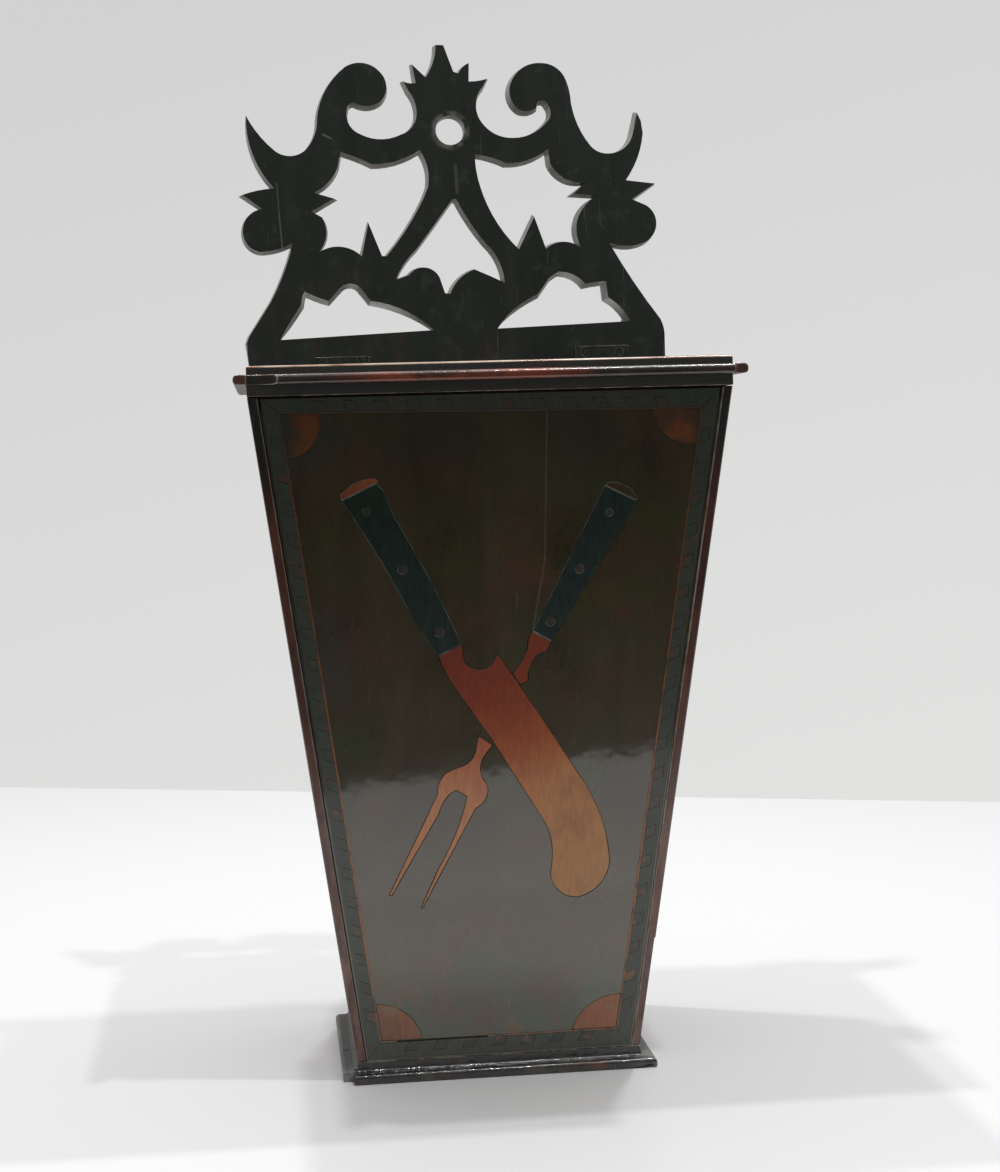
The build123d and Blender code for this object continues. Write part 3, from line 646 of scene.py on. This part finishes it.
def paint_faces(piece: Piece, look: Material,
                chosen: Callable[[bpy.types.MeshPolygon], bool], over: int = 0) -> None:
    """Give some faces of a piece a finish of their own.

    Args:
        piece: the object.
        look: material of the chosen faces.
        chosen: tells whether a face is one of them.
        over: number of the material that they have so far: 0 for faces, 1 for edges.
    """
    piece.data.materials.append(look)
    number = len(piece.data.materials) - 1
    for face in piece.data.polygons:
        if face.material_index == over and chosen(face):
            face.material_index = number


def unpolished_inside(grain: Grain = Grain.UPRIGHT) -> Material:
    """Fetch or make the dull brown mahogany of the inside, which was never polished.

    Args:
        grain: which way the board's grain runs.

    Returns:
        The material, made once for each way of the grain.
    """
    name = f"unpolished_mahogany_{grain.name.lower()}"
    return bpy.data.materials.get(name) or PolishedWood(
        name, "3d271c", "5a3b2a", "735140", grain, pores=0.55,
        roughness=0.6, film=0.06, film_roughness=0.4, mottle=0.18, scratches=0.4,
        scratch_colour="8a705c", tints=(
            Tint("2c1f18", 30.0, 0.52, 0.70, 0.45, None, grain.value),
            Tint("7d6552", 14.0, 0.58, 0.74, 0.35, None, grain.value))).material()


@dataclass
class Case:
    """The tapering case: side boards, bottom board and base moulding."""

    edge_mm: float = 0.5
    base: Tuple[str, ...] = ("bottom_board", "base_moulding_front")
    returns: Tuple[str, ...] = ("base_moulding_left", "base_moulding_right")
    crack: Tuple[Place, ...] = (      # across the left return
        (-84.2, 8.6, 2.0), (-80.2, 10.2, 5.6), (-76.0, 12.4, 6.9))

    def build(self) -> None:
        """Build the side boards, then the bottom board and its moulding."""
        self._sides()
        self._base()

    def _sides(self) -> None:
        """Round and polish the side boards, bare inside and rubbed along the front."""
        # Red-brown and semi-gloss, darker toward the lid and dry toward the foot.
        side = PolishedWood(
            "french_polished_mahogany_sides", "3e241d", "5b3328", "74463a", Grain.UPRIGHT,
            roughness=0.36, film=0.5, tints=(
                Tint.wash("21241f", 0.95, ("Z", 290.0, 345.0)),
                Tint("86695e", 9.0, 0.40, 0.62, 0.7, ("Z", 220.0, 60.0), (1.0, 1.0, 0.2)),
                Tint("231613", 14.0, 0.50, 0.62, 0.6, None, (1.0, 1.0, 0.15)),
            )).material()
        # Pale pinkish wood where the polish is worn off the corner.
        rubbed = WornArris("rubbed_mahogany_arris", "866f64", "c2b9b0",
                           worn=(0.30, 0.60)).material()
        raw = unpolished_inside()
        for node, inward in (("left_side", 1), ("right_side", -1)):
            board = Softened(node, self.edge_mm).build()
            dress(board, side, side)
            paint_faces(board, rubbed, lambda face, inward=inward:
                        0.3 < face.normal.x * inward < 0.95 and face.normal.y < -0.3)
            paint_faces(board, raw, lambda face, inward=inward: face.normal.x * inward > 0.97)

    def _base(self) -> None:
        """Round and finish the bottom board and the base moulding."""
        # Nearly black with small bright glints, and red where the black is rubbed thin.
        foot = PolishedWood(
            "worn_mahogany_base", "151412", "201e1c", "2b2724", Grain.ACROSS,
            roughness=0.28, film=1.0, film_roughness=0.08, ripple_mm=4.0, ripple=1.0,
            tints=(Tint("6e3a28", 7.0, 0.56, 0.70, 0.6, None, (0.3, 1.0, 1.0)),
                   Tint("4d4943", 15.0, 0.54, 0.68, 0.5))).material()
        # Dull wood that has lost its polish, with one dark crack; its pale grey is a painted
        # reflection of the wall.
        bare = PolishedWood(
            "bare_base_returns_painted_reflection", "626261", "787876", "8c8c8a", Grain.INWARD,
            roughness=0.62, film=0.1, film_roughness=0.3, tints=(
                Tint("a4a4a1", 12.0, 0.50, 0.66, 0.5, None, (1.0, 0.3, 1.0)),),
            lines=tuple(Hairline(Vector(start) * MM, Vector(end) * MM, 1.0, "15130f", 0.9)
                        for start, end in zip(self.crack, self.crack[1:]))).material()
        # A dark edge burnished by hands; its pale patches are a painted highlight.
        greyed = WornArris("burnished_base_arris_painted_highlight", "2b231f", "a9978a", roughness=0.16,
                           worn=(0.44, 0.66)).material()
        for node in self.base:
            dress(Softened(node, self.edge_mm).build(), foot, greyed)
        for node in self.returns:
            dress(Softened(node, self.edge_mm).build(), bare, greyed)


@dataclass
class Backboard:
    """The pierced backboard, its fretwork sawn by hand out of one board."""

    edge_mm: float = 0.22
    fret_from: float = 382.0 * MM
    marks: Tuple[Tuple[Point, Point, float, float], ...] = (   # ends, half width, strength
        ((-74.0, 512.6), (-69.5, 510.4), 0.5, 0.6), ((-101.0, 486.0), (-100.3, 468.0), 0.4, 0.3),
        ((-100.3, 468.0), (-99.0, 448.0), 0.45, 0.4), ((1.0, 494.0), (1.6, 479.0), 0.9, 0.25))

    def build(self) -> None:
        """Round the sawn edges, polish the face and paint the saw cuts paler, as a painted
        reflection of the bright room.
        """
        # Grey where the black is rubbed off the edges of the fretwork.
        arris = WornArris("fretwork_arris", "161915", "8c8b84", worn=(0.44, 0.70)).material()
        face = self._face()
        # Pale and shiny; the pale grey is a painted reflection of the bright room, so the saw
        # cuts show as thin bright lines.
        sawn = WornArris("sawn_walls_painted_reflection", "747067", "a29e96", roughness=0.34,
                         film=1.0).material()
        dry = self._rear()
        board = Softened("backboard", self.edge_mm).build()
        dress(board, face, arris)
        paint_faces(board, sawn, lambda cut: abs(cut.normal.y) < 0.6
                    and cut.center.z > self.fret_from)
        paint_faces(board, dry, lambda rear: rear.normal.y > 0.9)

    def _face(self) -> Material:
        """Make the polish of the front face, with its rubs and the wear round the hole."""
        # Greenish black and satin, with fine grey scratches that show from some way off.
        return PolishedWood(
            "ebonised_mahogany_backboard", "1b211b", "222a22", "2c352b", Grain.UPRIGHT,
            pores=0.25, roughness=0.36, film=0.6, film_roughness=0.2, scratches=0.6,
            scratch_colour="7d8077", tints=(
                Tint("4a3626", 22.0, 0.52, 0.68, 0.5, ("Z", 460.0, 385.0), (1.0, 1.0, 0.5)),
                Tint("3d473e", 9.0, 0.56, 0.72, 0.6),
                Ring((HOLE_X, BOARD_FACE, HOLE_Z), RUB_R, 3.2, "8f8f88", 0.7),
                Tint.wash("4f3526", 0.9, ("Z", 376.0, 372.0))),
            lines=tuple(Hairline(Vector((x0, BOARD_FACE, z0)) * MM,
                                 Vector((x1, BOARD_FACE, z1)) * MM, width, "8d8d80", strength)
                        for (x0, z0), (x1, z1), width, strength in self.marks)).material()

    @staticmethod
    def _rear() -> Material:
        """Make the bare wood of the rear face."""
        # Dull, dusty brown wood that was never polished, paler round the hole.
        return PolishedWood(
            "dry_mahogany_back", "33271f", "483729", "5e4a39", Grain.UPRIGHT, pores=0.5,
            roughness=0.66, film=0.08, film_roughness=0.4, mottle=0.2, scratches=0.5,
            scratch_colour="7b6a58", tints=(
                Tint("6f6253", 26.0, 0.50, 0.68, 0.5, None, (1.0, 1.0, 0.4)),
                Tint("231b16", 34.0, 0.48, 0.64, 0.6),
                Ring((HOLE_X, BOARD_REAR, HOLE_Z), RUB_R, 4.0, "8a7a68", 0.6))).material()


GRIME = Tint("2c2822", 9.0, 0.50, 0.66, 0.55)
SIDES = ("bottom", "right", "top", "left")

# Each stained veneer, with the pieces of inlay cut from it.
VENEERS: Tuple[Tuple[Marquetry, Tuple[str, ...]], ...] = (
    # Red-brown at the neck and honey-coloured toward the point.
    (Marquetry("stained_sycamore_blade", (-22, 222), (50, 92), (
        (0.0, "7a3422"), (0.22, "883a22"), (0.42, "a05029"), (0.60, "b3733d"),
        (1.0, "ae7c4a")), tints=(Tint("6e3f26", 20.0, 0.5, 0.7, 0.3),)),
     ("knife_blade", "fork_neck")),
    # Warm tan, palest half way along.
    (Marquetry("stained_sycamore_tines", (-8, 176), (-50, 92), (
        (0.0, "a85c3c"), (0.4, "c07e54"), (1.0, "ad7347"))), ("fork_tines",)),
    # Blackish green with the grain just showing.
    (Marquetry("dyed_pearwood_handles", (-70, 300), (-24, 222), (
        (0.0, "1b2b22"), (1.0, "202f2c")), figure=0.25,
        tints=(Tint("33413c", 5.0, 0.56, 0.7, 0.5, None, (1.0, 1.0, 0.3)),)),
     ("knife_handle", "fork_handle")),
    # Orange-brown, dulled by grime.
    (Marquetry("stained_sycamore_caps", (-76, 303), (-58, 312), (
        (0.0, "7d432a"), (1.0, "8f5533")), tints=(GRIME,)), ("knife_butt_cap",)),
    # The same wood gone dark.
    (Marquetry("smoked_sycamore_caps", (58, 308), (74, 300), (
        (0.0, "4d3a28"), (1.0, "41382a")), tints=(GRIME,)), ("fork_butt_cap",)),
    # Dots only a little lighter than the handles.
    (Marquetry("boxwood_rivets", (-64, 296), (-28, 232), (
        (0.0, "2b3731"), (1.0, "413a31"))), ("knife_rivets", "fork_rivets")),
    # Dusty rose-brown.
    (Marquetry("scorched_satinwood_fans", (-60, 12), (-40, 30), (
        (0.0, "7c5743"), (0.5, "8e5f48"), (1.0, "985f40")),
        tints=(Tint("7d7766", 9.0, 0.48, 0.66, 0.5),)),
     ("fan_bottom_left", "fan_bottom_right")),
    # Brown in the middle and almost lost in the dark corners.
    (Marquetry("darkened_satinwood_fans", (0, 330), (0, 350), (
        (0.0, "6f4126"), (1.0, "5e341d")),
        tints=(Tint("34352c", 12.0, 0.46, 0.66, 0.6, detail=1.0),
               Tint.wash("34352c", 0.95, ("X", -93.0, -103.0)),
               Tint.wash("34352c", 0.9, ("X", 98.0, 106.0)))),
     ("fan_top_left", "fan_top_right")),
    # A tan line, broken where dirt has filled the grain.
    (Marquetry("boxwood_stringing", (0, 0), (0, 350), (
        (0.0, "7f6655"), (0.25, "a4683c"), (0.6, "7e5235"), (1.0, "4e4338")),
        tints=(Tint("4c443a", 10.0, 0.50, 0.64, 0.8),)),
     tuple(f"string_{side}" for side in SIDES)),
    # Greenish grey, close to the panel in tone.
    (Marquetry("dyed_pearwood_banding", (0, 0), (0, 350), (
        (0.0, "4c5048"), (0.35, "42463f"), (0.6, "3d4239"), (1.0, "40443c")),
        tints=(Tint("4e4232", 12.0, 0.52, 0.66, 0.5),)),
     tuple(f"band_{side}" for side in SIDES)),
    # Brown chips, many of them grey with dirt.
    (Marquetry("satinwood_lozenges", (0, 0), (0, 350), (
        (0.0, "7d5f4b"), (0.5, "5e4232"), (1.0, "54382a")),
        tints=(Tint("3d433c", 7.0, 0.32, 0.48, 0.93),)),
     tuple(f"lozenges_{side}" for side in SIDES)),
)


@dataclass
class FrontPanel:
    """The sloping front panel, with its marquetry, stringing and banding."""

    edge_mm: float = 0.3
    rim_mm: float = 0.28
    corner_deg: float = 60.0
    marks: Tuple[Tuple[Point, Point, float, str, float], ...] = (   # as in Hairline
        ((26.9, 345.2), (25.5, 269.0), 0.45, "8d8474", 0.20),       # a pale hairline
        ((25.5, 269.0), (19.1, 231.7), 0.45, "8d8474", 0.20),
        ((50.1, 143.0), (60.0, 163.2), 0.25, "15110d", 0.8),        # a split
        ((-121.0, 354.0), (121.0, 354.0), 5.6, "070706", 0.95))     # painted shadow under the lid
    pale_rims: Tuple[str, ...] = (
        "knife_handle", "fork_handle", "knife_butt_cap", "fork_butt_cap")
    brown_rims: Tuple[str, ...] = (
        "knife_blade", "fork_neck", "fork_tines", "fan_bottom_left", "fan_bottom_right")

    def build(self) -> None:
        """Polish the panel and stain each piece of inlay."""
        # Dark edges of the pockets, grey where glue and wax have filled them.
        seam = WornArris("knife_cut_inlay_seam", "1d1a15", "77746a", worn=(0.36, 0.60)).material()
        board = Softened("front_panel", self.edge_mm, angle=self.corner_deg).build()
        dress(board, self._polish(), seam)
        paint_faces(board, unpolished_inside(), lambda face: face.normal.y > 0.9)
        # Pale glue and a painted highlight round the dark handles; dark dirt, with patches of
        # painted highlight, round the light blades.
        pale = WornArris("glue_line_round_handles", "23271f", "8e9184",
                         worn=(0.34, 0.56)).material()
        brown = WornArris("dirt_and_painted_highlight_round_blades", "1c130d", "85735a",
                          worn=(0.38, 0.64)).material()
        rims = {**dict.fromkeys(self.pale_rims, pale), **dict.fromkeys(self.brown_rims, brown)}
        for veneer, nodes in VENEERS:
            look = veneer.material()
            for node in nodes:
                if node in rims:
                    inlay = Softened(node, self.rim_mm, 1, self.corner_deg).build()
                    dress(inlay, look, rims[node])
                else:
                    dress(FRAME["nodes"][node], look)

    def _polish(self) -> Material:
        """Make the polish of the panel, with its hairline, split and the painted shadow under the
        lid.
        """
        # Olive-brown under a thick film that mirrors the table: milky low down, dark above.
        return PolishedWood(
            "french_polished_mahogany_panel", "352d1c", "413726", "4c4130", Grain.UPRIGHT,
            figure_mm=22.0, pores=0.3, roughness=0.30, ior=1.3, film=1.0,
            film_roughness=0.075, film_ior=1.7, ripple_mm=18.0, ripple=0.24, scratches=0.2,
            scratch_colour="8d8474", tints=(
                Tint("3a3f24", 48.0, 0.46, 0.66, 0.65),
                Tint("55382a", 40.0, 0.54, 0.70, 0.55),
                Tint.wash("675b4c", 0.8, ("Z", 165.0, 60.0)),
                Tint("545f50", 30.0, 0.40, 0.62, 0.8, ("Z", 130.0, 20.0)),
                Tint("86583f", 12.0, 0.58, 0.72, 0.5, ("Z", 120.0, 20.0), (1.0, 1.0, 0.4)),
                Tint("2f3029", 60.0, 0.34, 0.62, 0.6, ("Z", 300.0, 350.0)),
                Tint("3d4044", 60.0, 0.40, 0.62, 0.5, ("X", -60.0, -110.0))),
            lines=tuple(Hairline(SLOPE.point(*start), SLOPE.point(*end), *drawn)
                        for start, end, *drawn in self.marks)).material()


@dataclass
class Lid:
    """The hinged lid with its half-round moulding."""

    edge_mm: float = 0.6

    def build(self) -> None:
        """Round and polish the lid board, then its moulding."""
        # Dark edges, pale where knocks have taken the polish off.
        nicked = WornArris("rubbed_nosing_arris", "3a2a22", "a89486", roughness=0.16,
                           worn=(0.42, 0.64)).material()
        self._board(nicked)
        self._moulding(nicked)

    def _board(self, nicked: Material) -> None:
        """Build the board.

        Args:
            nicked: finish of its lower edges.
        """
        # Grey-brown and glossy, with patches rubbed red behind the front edge.
        worn = Tint("7a4630", 16.0, 0.50, 0.66, 0.6, ("Y", -84.0, -70.0), (0.35, 1.0, 1.0))
        top = PolishedWood(
            "french_polished_mahogany_lid", "30302d", "403f3a", "524f48", Grain.ACROSS,
            film=0.8, tints=(worn,)).material()
        # Long bare patches along the edge, with a nearly white painted highlight on them.
        rubbed = WornArris("worn_lid_arris_painted_highlight", "8a5a3a", "d9c6b2", roughness=0.2,
                           worn=(0.40, 0.66), patch_mm=34.0).material()
        board = Softened("lid_board", self.edge_mm).build()
        dress(board, top, rubbed)
        paint_faces(board, unpolished_inside(Grain.ACROSS), lambda face: face.normal.z < -0.9)
        # faces that tilt upward get the same painted highlight
        paint_faces(board, rubbed, lambda face: 0.2 < face.normal.z < 0.97)
        paint_faces(board, nicked, lambda edge: edge.normal.z < 0.1, over=1)

    def _moulding(self, nicked: Material) -> None:
        """Build the moulding along the front and the sides.

        Args:
            nicked: finish of its edges.
        """
        # Glowing red-orange in the middle and black toward both ends.
        nosing = PolishedWood(
            "worn_mahogany_nosing", "682a16", "884024", "a05530", Grain.ACROSS,
            roughness=0.26, film=0.7, ripple_mm=5.0, ripple=0.45, tints=(
                Tint.wash("2a2a27", 0.93, ("X", -45.0, -90.0)),
                Tint.wash("2a2a27", 0.90, ("X", 20.0, 75.0)),
                Tint("262522", 12.0, 0.46, 0.60, 0.8, None, (0.3, 1.0, 1.0)))).material()
        # Plain brown and half dull.
        ends = PolishedWood(
            "worn_mahogany_nosing_ends", "3d2a24", "5f3c30", "77503f", Grain.INWARD,
            roughness=0.3, film=0.5).material()
        dress(Softened("lid_moulding_front", self.edge_mm).build(), nosing, nicked)
        for node in ("lid_moulding_left", "lid_moulding_right"):
            dress(Softened(node, self.edge_mm).build(), ends, nicked)


@dataclass
class Hinges:
    """Two brass butt hinges planted on the lid and the backboard."""

    edge_mm: float = 0.4
    leaf_edge_mm: float = 0.6
    leaves: Tuple[str, ...] = (
        "hinge_left_board_leaf", "hinge_right_board_leaf", "hinge_left_lid_leaf",
        "hinge_right_lid_leaf")
    pins: Tuple[str, ...] = ("hinge_left_pin", "hinge_right_pin")
    screws: Tuple[str, ...] = ("hinge_screws_board", "hinge_screws_lid")

    def build(self) -> None:
        """Give the brass its patina, with a painted highlight along the edges."""
        # Dull greenish black like the board behind; the near-white edges are a painted highlight.
        brass = AgedBrass("browned_brass_hinges").material()
        dark = AgedBrass("browned_brass_screws", "42453b", "2b2d25").material()
        rubbed = AgedBrass("painted_highlight_brass_edges", "f6f4ea", "c9c6b6", 0.3, 0.1).material()
        for node in self.leaves:
            dress(Softened(node, self.leaf_edge_mm, 1).build(), brass, rubbed)
        for node in self.screws:
            dress(Softened(node, self.edge_mm, 1, 40.0).build(), dark, rubbed)
        for node in self.pins:
            dress(FRAME["nodes"][node], brass)


# ---- studio
@dataclass
class Viewpoint:
    """The camera, hand-held a little below the lid and to the left of the middle."""

    place: Place = (-0.1134, -1.1137, 0.3345)
    turn: float = 6.352       # degrees, as are the next two
    down: float = 3.904
    roll: float = -1.612
    focal_px: float = 2077.7
    long_side_px: float = 1172.0
    sensor_mm: float = 36.0

    def build(self) -> None:
        """Place the camera and make it the scene's own."""
        a, b, c = (math.radians(v) for v in (self.turn, self.down, self.roll))
        ahead = Vector((math.sin(a) * math.cos(b), math.cos(a) * math.cos(b), -math.sin(b)))
        right = Vector((math.cos(a), -math.sin(a), 0.0))
        up = right.cross(ahead)
        across = right * math.cos(c) + up * math.sin(c)
        upright = up * math.cos(c) - right * math.sin(c)
        data = bpy.data.cameras.new("camera")
        data.sensor_width = self.sensor_mm
        data.lens = self.focal_px * self.sensor_mm / self.long_side_px
        camera = bpy.data.objects.new("camera", data)
        bpy.context.scene.collection.objects.link(camera)
        turned = Matrix((across, upright, -ahead)).transposed().to_4x4()
        camera.matrix_world = Matrix.Translation(self.place) @ turned
        bpy.context.scene.camera = camera


@dataclass(frozen=True)
class Lamp:
    """One soft lamp hung over the table and aimed at the box."""

    name: str
    place: Place
    size: float
    power: float
    aim: Place = (0.0, 0.0, 0.2)

    def build(self) -> None:
        """Hang the lamp."""
        data = bpy.data.lights.new(self.name, "AREA")
        data.shape = "DISK"
        data.size = self.size
        data.energy = self.power
        lamp = bpy.data.objects.new(self.name, data)
        bpy.context.scene.collection.objects.link(lamp)
        ahead = Vector(self.aim) - Vector(self.place)
        lamp.matrix_world = (Matrix.Translation(self.place)
                             @ ahead.to_track_quat("-Z", "Y").to_matrix().to_4x4())


@dataclass
class Studio:
    """A white table top in a pale room: lamps overhead, the side toward the camera unlit."""

    back_edge: Tuple[Point, Point] = ((-0.5, 1.0724), (0.5, 0.6938))
    front_edge: Tuple[Point, Point] = ((-0.069, -0.357), (0.100, -0.389))
    table_reach: float = 2.1          # half the table's length
    front_light: float = 0.13         # brightness of the room's parts
    rear_light: float = 0.30
    ceiling_light: float = 0.52       # added to the walls'
    low_wall: float = 0.10            # share of it that the foot of the walls keeps
    floor_light: float = 0.06
    wall_tones: Tuple[str, str] = ("e2e2e1", "d2d2d2")
    lamps: Tuple[Lamp, ...] = (
        Lamp("front_right_lamp", (0.29, -0.50, 2.04), 0.05, 8.0),
        Lamp("rear_right_lamp", (0.41, 0.02, 1.70), 0.05, 5.6),
        Lamp("rear_left_lamp", (-0.28, -0.05, 1.70), 0.05, 5.6),
        Lamp("back_left_lamp", (-0.21, 0.33, 1.70), 0.05, 5.6),
    )

    def build(self) -> None:
        """Lay the table, hang the lamps and light the room."""
        self._table()
        for lamp in self.lamps:
            lamp.build()
        self._room()

    def _table(self) -> None:
        """Lay the white table top."""
        bpy.ops.object.select_all(action="DESELECT")
        bpy.ops.mesh.primitive_plane_add(size=2.0)
        top = bpy.context.object
        top.name = "table_top"
        for corner in top.data.vertices:
            (x0, y0), (x1, y1) = self.back_edge if corner.co.y > 0 else self.front_edge
            x = math.copysign(self.table_reach, corner.co.x)
            corner.co = (x, y0 + (x - x0) * (y1 - y0) / (x1 - x0), 0.0)
        # White, a touch greyer near the front and painted whiter toward the back as painted
        # light, with a soft reflection of the box.
        mat, tree, coords = start_material("white_laminate_table")
        place = add_node(tree, "ShaderNodeSeparateXYZ", {0: coords})
        depth = add_node(tree, "ShaderNodeMapRange", {
            "Value": place.outputs["Y"], "From Min": 0.1, "From Max": 1.0})
        white = add_node(tree, "ShaderNodeValToRGB", {"Fac": depth.outputs[0]},
                         stops=[(0.0, "f2f2f2"), (1.0, "ffffff")])
        shader = add_node(tree, "ShaderNodeBsdfPrincipled", {
            "Base Color": white.outputs["Color"], "Roughness": 0.42})
        add_node(tree, "ShaderNodeOutputMaterial", {"Surface": shader.outputs[0]})
        top.data.materials.append(mat)

    def _room(self) -> None:
        """Give the room pale walls and ceiling, dimmer toward the camera and the floor."""
        world = bpy.data.worlds.new("pale_room")
        world.use_nodes = True
        tree = world.node_tree
        tree.nodes.clear()
        coords = add_node(tree, "ShaderNodeTexCoord").outputs["Generated"]
        axes = add_node(tree, "ShaderNodeSeparateXYZ", {0: coords})
        rear, ceiling, low, floor = (
            add_node(tree, "ShaderNodeMapRange", {
                "Value": axes.outputs[axis], "From Min": first, "From Max": last,
                "To Min": before, "To Max": after}, interpolation_type="SMOOTHSTEP").outputs[0]
            for axis, first, last, before, after in (
                ("Y", -0.35, 0.45, self.front_light, self.rear_light),
                ("Z", 0.27, 0.85, 0.0, self.ceiling_light),
                ("Z", -0.28, 0.02, self.low_wall, 1.0),
                ("Z", -0.47, -0.34, self.floor_light, 0.0)))
        unlit = rear
        for level, how in ((ceiling, "ADD"), (low, "MULTIPLY"), (floor, "ADD")):
            unlit = add_node(tree, "ShaderNodeMath", {0: unlit, 1: level},
                             operation=how).outputs[0]
        room = add_node(tree, "ShaderNodeBackground", {
            "Color": linear("ffffff"), "Strength": unlit})
        shade = add_node(tree, "ShaderNodeVectorMath", {
            0: coords, 1: (-0.25, 0.0, 1.0)}, operation="DOT_PRODUCT")
        fall = add_node(tree, "ShaderNodeMapRange", {
            "Value": shade.outputs["Value"], "From Min": -0.242, "From Max": 0.217})
        tone = add_node(tree, "ShaderNodeValToRGB", {"Fac": fall.outputs[0]},
                        stops=list(zip((0.0, 1.0), self.wall_tones)))
        wall = add_node(tree, "ShaderNodeBackground", {
            "Color": tone.outputs["Color"], "Strength": 1.0})
        seen = add_node(tree, "ShaderNodeMixShader", {
            0: add_node(tree, "ShaderNodeLightPath").outputs["Is Camera Ray"],
            1: room.outputs[0], 2: wall.outputs[0]})
        add_node(tree, "ShaderNodeOutputWorld", {"Surface": seen.outputs[0]})
        bpy.context.scene.world = world
        bpy.context.scene.view_settings.view_transform = "Standard"


def main() -> None:
    """Build every sub-assembly in order and log each one."""
    logging.basicConfig(level=logging.INFO, format="%(name)s: %(message)s")
    for part in (Case(), Backboard(), FrontPanel(), Lid(), Hinges(), Viewpoint(), Studio()):
        part.build()
        LOG.info("%s built", type(part).__name__)


if __name__ == "__main__":
    main()
